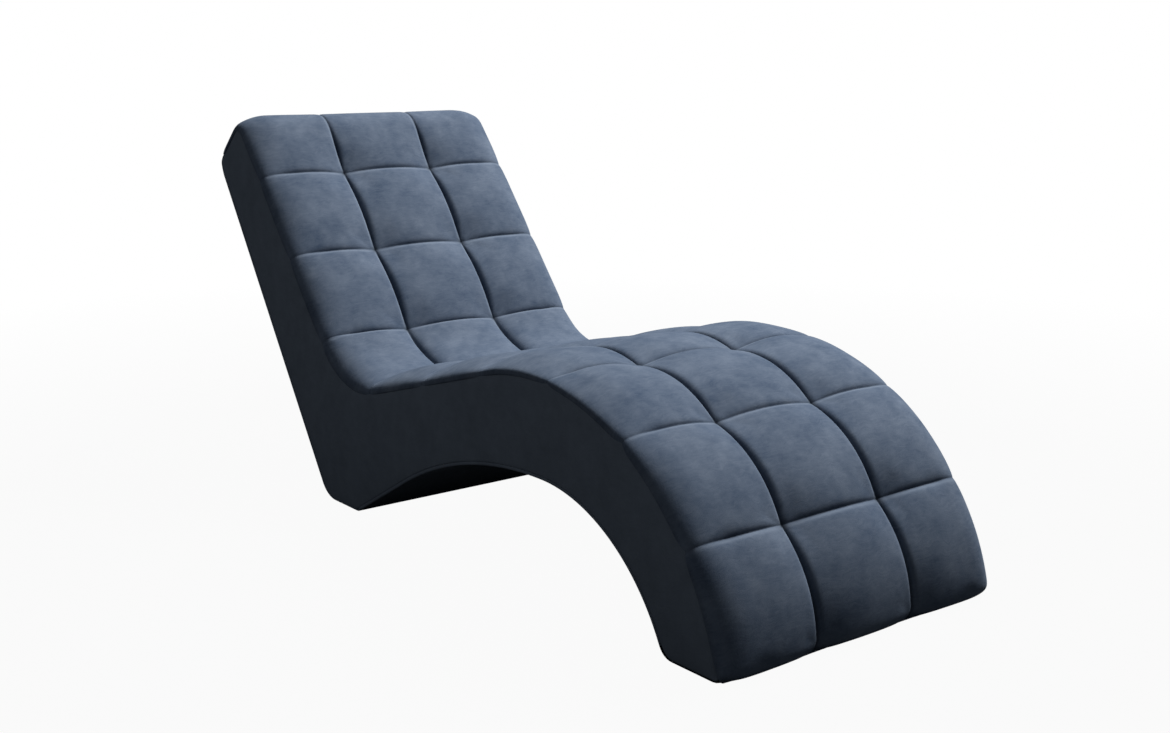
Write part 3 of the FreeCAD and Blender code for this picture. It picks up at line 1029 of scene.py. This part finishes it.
@dataclass
class QuiltedTop:
    """The padded top: three columns of cells in ten rows, stitched down along their seams."""

    path: SidePath
    finish: Velvet
    half_width: float = 0.3095
    column_seam: float = 0.110
    leg_rows: int = 3
    leg_row_pitch: float = 0.2045
    body_rows: int = 6
    head_row_length: float = 0.265
    base: float = 0.010
    channel: float = 0.004
    lip_height: float = 0.0210
    crown: float = 0.0065
    lip_reach: float = 0.011
    column_depth: float = 0.70
    row_reach: float = 0.010
    row_depth: float = 0.29
    crossing_dip: float = 0.8
    edge_levels: tuple[float, ...] = (0.034, 0.024, 0.0105, 0.010, 0.011,
                                      0.013, 0.031, 0.026, 0.025, 0.022)
    edge_notch: float = 0.006
    edge_reach: float = 0.075
    side_reach: float = 0.070
    roll_ease: float = 0.45
    knee_side_reach: float = 0.038
    knee_roll_ease: float = 0.15
    overhang: float = 0.005
    hang: float = 0.006
    hang_ease: float = 0.050
    hang_power: int = 4
    knee_sink: float = 0.007
    knee_middle: float = 0.620
    knee_reach: float = 0.500
    toe_reach: float = 0.018
    toe_scallop: float = 0.007
    corner_radius: float = 0.012
    side_tuck: float = 0.004
    corner_power: int = 6
    toe_fade_reach: float = 0.060
    toe_fade: float = 0.25
    head_height: float = 0.0175
    head_crown: float = 0.0015
    head_notch: float = 0.0035
    head_ease: float = 0.080
    tuck_reach: float = 0.005
    under_drop: float = 0.0002
    floor_gap: float = 0.001
    row_steps: int = 24
    column_steps: int = 24
    under_steps: int = 8
    even_share: float = 0.08
    # Painted shade along the seams, at their crossings and in the groove at the side edges:
    seam_reach: float = 0.0018
    row_seam_shade: float = 0.3
    column_seam_shade: float = 0.6
    dimple_shade_reach: float = 0.008
    # Painted highlight on the fold just below and beside each seam, kept off the side edges:
    highlight_place: float = 0.0035
    highlight_reach: float = 0.0025
    highlight_margin: float = 0.012
    fill: float = 0.9
    swelling: Swelling = Swelling(pressure=4.0, furthest=0.004)

    def row_seams(self) -> np.ndarray:
        """Places the cross seams.

        Returns:
            Their distances from the toe, with both ends of the cover.
        """
        length = self.path.marks[Corner.HEAD_REAR][0]
        leg = self.leg_row_pitch * np.arange(self.leg_rows)
        body = np.linspace(self.leg_row_pitch * self.leg_rows, length - self.head_row_length,
                           self.body_rows + 1)
        return np.concatenate([leg, body, [length]])

    def gathered(self, steps: int) -> np.ndarray:
        """Spreads shares from 0 to 1 that lie closer together near both ends.

        Args:
            steps: How many steps they make.

        Returns:
            The shares, one more than the steps.
        """
        even = np.linspace(0.0, 1.0, steps + 1)
        drawn = (1.0 - np.cos(math.pi * even)) / 2.0
        return self.even_share * even + (1.0 - self.even_share) * drawn

    def knee(self, distance: np.ndarray) -> np.ndarray:
        """How much each ring belongs to the knee, from 0 to 1."""
        return smooth(1.0 - np.abs(distance - self.knee_middle) / self.knee_reach)[:, None]

    def rolled(self, distance: np.ndarray, from_side: np.ndarray) -> np.ndarray:
        """Rise of the rolled side edge, upright at its foot and drawn out above.

        Args:
            distance: Distance of each ring along the top.
            from_side: Distance of each vertex to the side edge.

        Returns:
            Shares of the full height, as rings x places.
        """
        knee = self.knee(distance)
        reach = self.side_reach + (self.knee_side_reach - self.side_reach) * knee
        ease = self.roll_ease + (self.knee_roll_ease - self.roll_ease) * knee
        drawn_out = np.sin(np.clip(from_side / reach, 0.0, 1.0) * math.pi / 2.0)
        return (1.0 - ease) * lip(from_side, reach) + ease * drawn_out

    def rows(self) -> tuple[np.ndarray, np.ndarray, np.ndarray]:
        """Places the rings along the top.

        Returns:
            The distance of each, its place in its row from -1 to 1, and its distance to a seam.
        """
        seams = self.row_seams()
        share = self.gathered(self.row_steps)[:-1]
        spans = [start + (end - start) * share for start, end in zip(seams, seams[1:])]
        distance = np.append(np.concatenate(spans), seams[-1])
        inside = np.append(np.tile(2.0 * share - 1.0, len(spans)), 1.0)
        away = np.abs(distance[:, None] - seams[None, 1:]).min(axis=1)
        return distance, inside, away

    def columns(self) -> tuple[np.ndarray, np.ndarray]:
        """Places the vertices of a ring across the top.

        Returns:
            The number of each one's column plus its share of that column's width, and its place
            in the column from -1 to 1.
        """
        share = self.gathered(self.column_steps)
        span = np.concatenate([share[:-1], 1.0 + share[:-1], 2.0 + share])
        inside = np.concatenate([2.0 * share[:-1] - 1.0] * 2 + [2.0 * share - 1.0])
        return span, inside

    def heights(self, distance: np.ndarray, row_inside: np.ndarray, row_away: np.ndarray,
                across: np.ndarray, column_inside: np.ndarray, edge: np.ndarray) -> np.ndarray:
        """Finds how far the top stands over the skin.

        Args:
            distance: Distance of each ring along the top.
            row_inside: Its place in its row, from -1 to 1.
            row_away: Its distance to a cross seam.
            across: Place of each vertex across the top.
            column_inside: Place of each column of vertices in its cell, from -1 to 1.
            edge: Half the width of the top at each ring.

        Returns:
            Heights over the skin, outwards, as rings x places.
        """
        seams = self.row_seams()
        from_side = edge - np.abs(across)
        from_column = np.abs(np.abs(across) - self.column_seam)
        row_square = row_inside[:, None] ** 2
        column_square = column_inside[None, :] ** 2
        row_lip = 1.0 - self.row_depth * (1.0 - lip(row_away, self.row_reach)[:, None])
        toe_fade = self.toe_fade * smooth(1.0 - distance / self.toe_fade_reach)[:, None]
        column_dip = 1.0 - lip(from_column, self.lip_reach)
        column_lip = 1.0 - self.column_depth * column_dip * (1.0 - toe_fade)
        lips = row_lip * column_lip * (1.0 - self.crossing_dip * row_square * column_square)
        bow = (1.0 - row_square) * (1.0 - column_square)
        cell = self.lip_height * lips + self.crown * bow - self.channel
        level = np.interp(distance, (seams[1:] + seams[:-1]) / 2.0, self.edge_levels)[:, None]
        roll = level - self.edge_notch * (1.0 - row_lip)
        near_side = smooth(1.0 - from_side / self.edge_reach)
        cell = cell * (1.0 - near_side) + roll * near_side
        taut = self.head_height + self.head_crown * (1.0 - column_square)
        taut = taut - self.head_notch * column_dip
        fold = self.path.marks[Corner.HEAD_FRONT][0]
        over = smooth((distance - fold + self.head_ease) / self.head_ease)
        past = smooth((seams[-1] - distance) / self.head_ease)
        head = (over * past)[:, None]
        padded = cell * (1.0 - head) + taut * head
        padded = padded - self.knee_sink * self.knee(distance) + self.base
        scallop = self.toe_scallop * column_inside[None, :] ** self.corner_power
        toe_lip = lip(distance[:, None] - scallop, self.toe_reach)
        rolled = self.rolled(distance, from_side)
        ends = np.minimum(distance, seams[-1] - distance)
        hung = self.hang * smooth(ends / self.hang_ease)[:, None]
        return padded * rolled * toe_lip - self.base - hung * (1.0 - rolled) ** self.hang_power

    def build(self) -> bpy.types.Object:
        """Makes the closed top, swells it and dresses it.

        Returns:
            The finished piece.
        """
        distance, row_inside, row_away = self.rows()
        span, column_inside = self.columns()
        rounded = self.corner_radius * (1.0 - lip(distance, self.corner_radius))
        tucked = self.side_tuck * row_inside ** self.corner_power
        edge = (self.half_width - rounded - tucked)[:, None]
        outer = np.clip(np.maximum(1.0 - span, span - 2.0), 0.0, 1.0)[None, :]
        inner_x = (np.clip(span, 1.0, 2.0) - 1.5) * 2.0 * self.column_seam
        outer_x = np.sign(span - 1.5)[None, :] * outer * (edge - self.column_seam)
        across = inner_x[None, :] + outer_x
        height = self.heights(distance, row_inside, row_away, across, column_inside, edge)
        roll = np.sin(math.pi * self.rolled(distance, edge - np.abs(across)))
        overhang = self.overhang * lip(distance, self.toe_reach)[:, None] * roll
        across = across + np.sign(across) * overhang
        under_x = np.linspace(1.0, -1.0, self.under_steps)[None, :] * (edge - self.tuck_reach)
        under_height = np.full(under_x.shape, -self.base - self.under_drop)
        ring_x = np.concatenate([across, under_x], axis=1)
        ring_height = np.concatenate([height, under_height], axis=1)
        side = self.path.at(np.broadcast_to(distance[:, None], ring_x.shape), ring_height)
        side[..., 1] = np.maximum(side[..., 1], self.floor_gap)
        rings = np.concatenate([ring_x[..., None], side], axis=2)
        top = len(span)
        piece = swept("quilted_top", rings, flat_cut(rings, distance, top // 2))
        held = np.zeros(ring_x.shape, bool)
        held[::self.row_steps] = True
        held[:, [0, self.column_steps, 2 * self.column_steps, top - 1]] = True
        held[:, top:] = True
        self.swelling.apply(piece, held.ravel())
        self.mark_shade_and_highlight(piece, ring_x, distance)
        subdivide(piece)
        dress(piece, self.finish.material())
        settle(piece, "quilted_velvet", self.fill, "quilted_cover")
        return piece

    def mark_shade_and_highlight(self, piece: bpy.types.Object, across: np.ndarray, distance: np.ndarray) -> None:
        """Keeps in each vertex how much painted shade it gets at a seam, and how much painted
        highlight on the fold beside a seam.

        Args:
            piece: The finished top.
            across: Place of each vertex across the top.
            distance: Distance of each ring along the top.
        """
        rows = distance[:, None] - self.row_seams()[None, 1:-1]
        from_row = np.abs(rows).min(axis=1)[:, None]
        from_column = np.abs(np.abs(across) - self.column_seam)
        # Painted shade: dark along the seams, in dimples where they cross and in the groove at the
        # side edges.
        row_shade = self.row_seam_shade * np.exp(-((from_row / self.seam_reach) ** 2))
        column_shade = self.column_seam_shade * np.exp(-((from_column / self.seam_reach) ** 2))
        dimple_shade = np.exp(-((from_row ** 2 + from_column ** 2) / self.dimple_shade_reach ** 2))
        # Painted highlight on the fold below each row seam and beside each column seam, kept off
        # the side edges.
        below = np.exp(-(((rows + self.highlight_place) / self.highlight_reach) ** 2)).max(axis=1)[:, None]
        columns = np.array([-self.column_seam, self.column_seam])
        beside = across[..., None] - columns + self.highlight_place
        beside = np.exp(-((beside / self.highlight_reach) ** 2)).max(axis=2)
        inner = np.abs(across) < self.half_width - self.highlight_margin
        groove_shade = smooth((np.abs(across) - self.half_width) / self.seam_reach + 1.0)
        row_shade = np.broadcast_to(row_shade, across.shape)
        seam = np.maximum.reduce([row_shade, column_shade, dimple_shade, self.row_seam_shade * groove_shade])
        fold = np.maximum(below, beside) * inner
        for name, value in {SEAM_SHADE: seam, LIP_HIGHLIGHT: fold}.items():
            layer = piece.data.attributes.new(name, "FLOAT", "POINT")
            layer.data.foreach_set("value", value.astype(np.float32).ravel())


@dataclass
class EdgePad:
    """Padded cloth that runs along part of the side line, with its two long edges rounded."""

    path: SidePath
    name: str
    node: str
    slot: str
    finish: Velvet | LiningCloth
    first: float
    last: float
    first_thickness: float
    last_thickness: float
    thin_from: float
    thin_to: float
    half_width: float = 0.310
    edge_radius: float = 0.003
    first_radius: float = 0.003
    radius_ease: float = 0.120
    last_corner: float = 0.0
    crown: float = 0.0
    seam_drop: float = 0.0
    seam_reach: float = 0.012
    across_steps: int = 40
    edge_steps: int = 8
    spacing: float = 0.006
    fill: float = 0.7

    def build(self) -> bpy.types.Object:
        """Makes the strip and dresses it.

        Returns:
            The finished piece.
        """
        distance = self.path.stations(self.first, self.last, self.spacing)
        thinning = smooth((distance - self.thin_from) / (self.thin_to - self.thin_from))
        thickness = self.first_thickness + (self.last_thickness - self.first_thickness) * thinning
        eased = smooth((distance - self.first) / self.radius_ease)
        radius = (self.first_radius + (self.edge_radius - self.first_radius) * eased)[:, None]
        flat = np.linspace(-1.0, 1.0, self.across_steps + 1)[None, :] * (self.half_width - radius)
        share = 1.0 - np.cos(np.linspace(0.0, math.pi / 2.0, self.edge_steps + 1))[1:]
        depth = thickness[:, None] * share[None, :]
        round_x = self.half_width - radius + radius * lip(depth, radius)
        inner = flat[:, ::-1]
        across = np.concatenate([flat, round_x, inner, -round_x[:, ::-1]], axis=1)
        if self.last_corner:
            rounded = self.last_corner * (1.0 - lip(self.last - distance, self.last_corner))
            across = across * (1.0 - rounded / self.half_width)[:, None]
        under = np.repeat(-thickness[:, None], inner.shape[1], axis=1)
        along_share = np.clip((distance - self.first) / (self.last - self.first), 0.0, 1.0)
        swell = self.crown * np.sin(math.pi * along_share) * (1.0 - thinning)
        drop = self.seam_drop * (1.0 - lip(distance - self.first, self.seam_reach))
        bow = swell[:, None] * (1.0 - (flat / self.half_width) ** 2) - drop[:, None]
        height = np.concatenate([bow, -depth, under, -depth[:, ::-1]], axis=1)
        side = self.path.at(np.broadcast_to(distance[:, None], height.shape), height)
        rings = np.concatenate([across[..., None], side], axis=2)
        piece = swept(self.name, rings, flat_cut(rings, distance, self.across_steps // 2))
        dress(piece, self.finish.material())
        settle(piece, self.slot, self.fill, self.node)
        return piece


@dataclass
class SidePad:
    """Smooth padded side with a rounded rim, swelled a little between its edges.

    Each step of a rim is how far it is set in along the face and how far it lies below it.
    """

    side: Side
    finish: Velvet
    forward: float
    insets: Insets = Insets(top=0.0103, rear=0.0083, arch=0.0063, floor=0.0033)
    outline: SideOutline = SideOutline(toe_radius=0.012)
    outer_x: float = 0.310
    rim: tuple[tuple[float, float], ...] = (
        (0.0, 0.0097), (0.0, 0.0022), (0.0005, 0.0012), (0.0015, 0.0006), (0.0030, 0.0002))
    top_rim: tuple[tuple[float, float], ...] = (
        (0.0, 0.0097), (0.0, 0.0060), (0.0025, 0.0036), (0.0060, 0.0018), (0.0120, 0.0003))
    rim_spacing: float = 0.007
    face_spacing: float = 0.016
    face_row: float = 0.866
    face_margin: float = 0.6
    crown: float = 0.0012
    crown_reach: float = 0.07
    fill: float = 0.6
    swelling: Swelling = Swelling(pressure=2.0, furthest=0.001, tension=25.0)

    @staticmethod
    def inside(points: np.ndarray, ring: np.ndarray) -> np.ndarray:
        """Finds which points lie inside a closed ring, by counting the lines above each.

        Args:
            points: The points (Y, Z).
            ring: The points of the ring, in order.

        Returns:
            For each point, whether it lies inside.
        """
        first = ring[None, :, :]
        last = np.roll(ring, -1, axis=0)[None, :, :]
        y = points[:, None, 0]
        spans = (first[..., 0] > y) != (last[..., 0] > y)
        run = np.where(spans, last[..., 0] - first[..., 0], 1.0)
        level = first[..., 1] + (y - first[..., 0]) / run * (last[..., 1] - first[..., 1])
        return (spans & (level > points[:, None, 1])).sum(axis=1) % 2 == 1

    def face_points(self, ring: np.ndarray) -> tuple[np.ndarray, np.ndarray]:
        """Spreads points evenly inside a ring.

        Args:
            ring: The rim's innermost line.

        Returns:
            The points and the distance of each to the ring.
        """
        low = ring.min(axis=0)
        high = ring.max(axis=0)
        step = self.face_spacing
        y, z = np.meshgrid(np.arange(low[0], high[0], step),
                           np.arange(low[1], high[1], step * self.face_row))
        y = y + (np.arange(len(y)) % 2)[:, None] * step / 2.0
        points = np.stack([y.ravel(), z.ravel()], axis=1)
        points = points[self.inside(points, ring)]
        away = np.sqrt(((points[:, None, :] - ring[None, :, :]) ** 2).sum(axis=2).min(axis=1))
        far = away > step * self.face_margin
        return points[far], away[far]

    def build(self) -> bpy.types.Object:
        """Makes the rim and the face, swells the pad and dresses it.

        Returns:
            The finished piece.
        """
        steps = list(zip(self.rim, self.top_rim))
        lines = [SidePath(self.outline, self.insets.deeper(step[0], top_step[0]))
                 for step, top_step in steps]
        counts = lines[0].counts(self.rim_spacing)
        rings = [line.ring(counts) + np.array([self.forward, 0.0]) for line in lines]
        size = len(rings[0])
        loose, away = self.face_points(rings[-1])
        flat = [Vector(point) for point in np.concatenate([rings[-1], loose])]
        border = [(index, (index + 1) % size) for index in range(size)]
        made, _, faces, *_ = delaunay_2d_cdt(flat, border, [], 1, CLOSE)
        if len(made) != len(flat):
            raise ValueError("the side face gained or lost points")
        top_end = lines[0].marks[Corner.HEAD_REAR][0] - self.rim_spacing
        under_top = np.repeat(lines[0].starts < top_end, counts)
        levels = [self.outer_x - np.where(under_top, top_step[1], step[1])
                  for step, top_step in steps]
        crown = self.crown * (1.0 - np.exp(-((away / self.crown_reach) ** 2)))
        x = np.concatenate(levels + [self.outer_x + crown]) * self.side.value
        side = np.concatenate(rings + [loose])
        last = size * (len(rings) - 1)
        polygons = [[last + corner for corner in face] for face in faces]
        for low in range(0, last, size):
            polygons += [[low + a, low + b, low + size + b, low + size + a] for a, b in border]
        rear = [Vector(point) for point in rings[0]]
        _, _, back, *_ = delaunay_2d_cdt(rear, border, [], 1, CLOSE)
        polygons += [list(face) for face in back]
        word = self.side.name.lower()
        mesh = bpy.data.meshes.new(f"{word}_side_pad")
        mesh.from_pydata(np.column_stack([x, side]).tolist(), [], polygons)
        piece = new_piece(f"{word}_side_pad", mesh)
        turn_outwards(piece)
        self.swelling.apply(piece, np.arange(len(x)) < size * len(rings))
        dress(piece, self.finish.material())
        settle(piece, "plain_velvet", self.fill, f"{word}_side_cover")
        return piece


@dataclass
class InnerLayer:
    """Foam or felt under the cover, cut to its shape with softened edges."""

    name: str
    node: str
    slot: str
    finish: Fibre
    edge: float
    edge_steps: int = 2
    flat_angle: float = 2.0
    edge_angle: float = 35.0
    fill: float = 0.8

    def build(self) -> bpy.types.Object:
        """Copies the layer's solid, softens its edges and dresses it.

        Returns:
            The finished piece.
        """
        piece = merged_copy(self.name, self.node)
        flat = math.radians(self.flat_angle)
        edit_all(piece, bpy.ops.mesh.dissolve_limited, angle_limit=flat)
        bevel = piece.modifiers.new("soft_edge", "BEVEL")
        bevel.width = self.edge
        bevel.segments = self.edge_steps
        bevel.limit_method = "ANGLE"
        bevel.angle_limit = math.radians(self.edge_angle)
        apply_modifiers(piece)
        bpy.ops.object.shade_smooth_by_angle(angle=math.radians(self.edge_angle))
        dress(piece, self.finish.material())
        settle(piece, self.slot, self.fill, self.node)
        return piece


@dataclass
class Carcass:
    """The wooden frame, belts and glides, which keep their CAD shapes."""

    plywood: SawnWood = SawnWood("plywood", (0.74, 0.57, 0.38), (0.52, 0.36, 0.21),
                                 (90.0, 3.0, 40.0), 0.0026)
    rail_wood: SawnWood = SawnWood("rail_wood", (0.68, 0.49, 0.30), (0.45, 0.29, 0.15),
                                   (3.0, 70.0, 70.0))
    webbing: BeltWeave = BeltWeave("webbing", (0.55, 0.50, 0.42), (0.20, 0.17, 0.14))
    hardboard: Fibre = Fibre("hardboard", (0.42, 0.28, 0.17), (0.27, 0.17, 0.10),
                             260.0, 0.55, 0.0003)
    plastic: Fibre = Fibre("glide_plastic", (0.030, 0.030, 0.032), (0.05, 0.05, 0.05),
                           900.0, 0.5, 0.0002)

    def dress(self) -> None:
        """Gives each CAD node that stays its material."""
        finishes = (self.plywood, self.rail_wood, self.webbing, self.hardboard, self.plastic)
        materials = {finish.name: finish.material() for finish in finishes}
        for part in frame["record"]["subparts"]:
            slot = part["material_slot"]
            if slot in materials:
                dress(frame["nodes"][part["node"]], materials[slot])
                LOG.info("%s: %s", part["node"], slot)


@dataclass
class Studio:
    """White floor, soft light from above, and the camera."""

    floor_size: float = 60.0
    floor_grey: float = 0.06
    floor_speckle: float = 0.02
    floor_grain: Grain = Grain(40.0)
    floor_white: float = 0.95
    floor_fade_from: float = 1.2
    floor_fade_reach: float = 2.0
    ambient: float = 0.055
    ambient_tint: Colour = (0.90, 0.99, 1.10)
    key_power: float = 820.0
    key_size: float = 3.4
    key_place: Triple = (3.9, 0.02, 5.2)
    key_aim: Triple = (0.0, -0.10, 0.35)
    fill_power: float = 7.0
    fill_size: float = 2.5
    fill_place: Triple = (-3.0, 0.30, 1.5)
    fill_aim: Triple = (-0.3, 0.10, 0.35)
    camera_place: Triple = (-1.6940, -2.2618, 0.9042)
    camera_azimuth: float = -38.012
    camera_elevation: float = 12.066
    lens: float = 45.38
    sensor: float = 36.0

    def lay_floor(self) -> None:
        """Lays a floor that shows almost white, with a trace of shadow, and throws back little."""
        bpy.ops.object.select_all(action="DESELECT")
        bpy.ops.mesh.primitive_plane_add(size=self.floor_size)
        floor = bpy.context.active_object
        floor.name = "floor"
        material, graph = new_graph("pale_floor")
        place = graph.place()
        dark = (self.floor_grey,) * 3
        light = (self.floor_grey + self.floor_speckle,) * 3
        tint = graph.mix(graph.noise(place, self.floor_grain), dark, light)
        paint = graph.add("ShaderNodeBsdfDiffuse", None, {"Color": tint})
        white = graph.add("ShaderNodeEmission", None, {"Color": (1.0, 1.0, 1.0), "Strength": 1.0})
        away = graph.add("ShaderNodeVectorMath", {"operation": "LENGTH"}, {0: place}, "Value")
        far = ((away - self.floor_fade_from) * (1.0 / self.floor_fade_reach)).math("MINIMUM", 1.0)
        white_share = far.math("MAXIMUM", 0.0) * (1.0 - self.floor_white) + self.floor_white
        share = self.seen(graph) * white_share
        graph.surface(graph.add("ShaderNodeMixShader", None, {0: share, 1: paint, 2: white}))
        dress(floor, material)

    @staticmethod
    def seen(graph: Graph) -> Sock:
        """Tells the rays that show the background from those that light the lounger.

        Args:
            graph: The graph that asks.

        Returns:
            1 for rays from the camera, or seen in gloss or through glass, and 0 for the rest.
        """
        outputs = graph.node("ShaderNodeLightPath").outputs
        camera = Sock(graph, outputs["Is Camera Ray"])
        gloss = Sock(graph, outputs["Is Glossy Ray"])
        glass = Sock(graph, outputs["Is Transmission Ray"])
        return camera.math("MAXIMUM", gloss).math("MAXIMUM", glass)

    def light(self) -> None:
        """Sets the sky, a large soft lamp overhead and a weak one beside."""
        world = bpy.data.worlds.new("studio")
        world.use_nodes = True
        bpy.context.scene.world = world
        graph = Graph(world.node_tree)
        tint = tuple(self.ambient * share for share in self.ambient_tint)
        dim = graph.add("ShaderNodeBackground", None, {"Color": tint})
        white = graph.add("ShaderNodeBackground", None, {"Color": (1.0, 1.0, 1.0)})
        sky = graph.add("ShaderNodeMixShader", None, {0: self.seen(graph), 1: dim, 2: white})
        graph.surface(sky, "ShaderNodeOutputWorld")
        self.hang_lamp("key", self.key_power, self.key_size, self.key_place, self.key_aim)
        self.hang_lamp("fill", self.fill_power, self.fill_size, self.fill_place, self.fill_aim)

    @staticmethod
    def hang_lamp(name: str, power: float, size: float, place: Triple, aim: Triple) -> None:
        """Hangs a round soft lamp.

        Args:
            name: The lamp's name.
            power: Its power in watts.
            size: Its diameter.
            place: Where it hangs.
            aim: The point that it faces.
        """
        lamp = bpy.data.lights.new(name, "AREA")
        lamp.shape = "DISK"
        lamp.size = size
        lamp.energy = power
        holder = new_piece(name, lamp)
        holder.location = place
        holder.rotation_euler = (Vector(place) - Vector(aim)).to_track_quat("Z", "Y").to_euler()

    def aim_camera(self) -> None:
        """Places the camera at the picture's viewing angle."""
        data = bpy.data.cameras.new("camera")
        data.lens = self.lens
        data.sensor_width = self.sensor
        data.sensor_fit = "HORIZONTAL"
        azimuth = math.radians(self.camera_azimuth)
        elevation = math.radians(self.camera_elevation)
        level = math.cos(elevation)
        back = Vector((math.sin(azimuth) * level, -math.cos(azimuth) * level, math.sin(elevation)))
        right = Vector((math.cos(azimuth), math.sin(azimuth), 0.0))
        up = back.cross(right)
        turn = Matrix((right, up, back)).transposed().to_4x4()
        camera = new_piece("camera", data)
        camera.matrix_world = Matrix.Translation(self.camera_place) @ turn
        bpy.context.scene.camera = camera

    def build(self) -> None:
        """Sets up the floor, the light and the camera."""
        bpy.context.scene.view_settings.view_transform = "Standard"
        self.lay_floor()
        self.light()
        self.aim_camera()


@dataclass
class Lounger:
    """All padded pieces of the lounger around one side line."""

    quilt_velvet: Velvet = Velvet("quilted_velvet", (0.040, 0.062, 0.104), (0.154, 0.186, 0.240),
                                  Nap.CUT)
    plain_velvet: Velvet = Velvet("plain_velvet", (0.094, 0.114, 0.145), (0.154, 0.185, 0.233),
                                  Nap.PLACE, streaks=0.3, blotches=0.6)
    lining: LiningCloth = LiningCloth("lining_cloth", (0.020, 0.023, 0.029), (0.040, 0.046, 0.057))
    foam: Fibre = Fibre("foam", (0.85, 0.83, 0.72), (0.70, 0.66, 0.50), 180.0, 0.9, 0.001, 420.0)
    felt: Fibre = Fibre("felt", (0.45, 0.45, 0.44), (0.24, 0.24, 0.25), 320.0, 0.95, 0.0008)
    back_thickness: float = 0.008
    back_corner: float = 0.020
    back_corner_ease: float = 0.060
    back_crown: float = 0.003
    back_seam_drop: float = 0.001
    arch_thickness: float = 0.006
    floor_thickness: float = 0.003
    toe_corner: float = 0.012
    quilt_base: float = 0.0103
    foam_edge: float = 0.002
    felt_edge: float = 0.0008

    def build(self) -> None:
        """Makes the padded pieces from the outside in, over the glides of the frame."""
        path = SidePath(SideOutline())
        marks = path.marks
        low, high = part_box("toe_glides")
        stand = (marks[Corner.FOOT_REAR][1] + path.length) / 2.0
        forward = (low.y + high.y) / 2.0 - float(path.at(np.array([stand]))[0, 0])
        path.shift(forward)
        QuiltedTop(path, self.quilt_velvet).build()
        for side in Side:
            SidePad(side, self.plain_velvet, forward).build()
        thin = self.floor_thickness
        EdgePad(path, "back_pad", "back_cover", "plain_velvet", self.plain_velvet,
                marks[Corner.HEAD_REAR][0], marks[Corner.ARCH_HEEL][1],
                self.back_thickness, thin, *marks[Corner.HEEL],
                first_radius=self.back_corner, radius_ease=self.back_corner_ease,
                crown=self.back_crown, seam_drop=self.back_seam_drop).build()
        EdgePad(path, "arch_pad", "arch_cover", "plain_velvet", self.plain_velvet,
                marks[Corner.ARCH_HEEL][1], marks[Corner.FOOT_REAR][0],
                self.arch_thickness, self.arch_thickness, *marks[Corner.ARCH_BACK]).build()
        EdgePad(path, "toe_pad", "toe_cover", "lining_cloth", self.lining,
                marks[Corner.FOOT_REAR][0], path.length - self.quilt_base,
                thin, thin, *marks[Corner.FOOT_REAR], last_corner=self.toe_corner).build()
        InnerLayer("foam_fill", "foam_core", "foam", self.foam, self.foam_edge).build()
        InnerLayer("felt_layer", "felt_pad", "felt", self.felt, self.felt_edge).build()


def main() -> None:
    """Builds the lounger and its studio."""
    logging.basicConfig(level=logging.INFO, format="%(message)s")
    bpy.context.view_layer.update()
    Lounger().build()
    Carcass().dress()
    Studio().build()


if __name__ == "__main__":
    main()
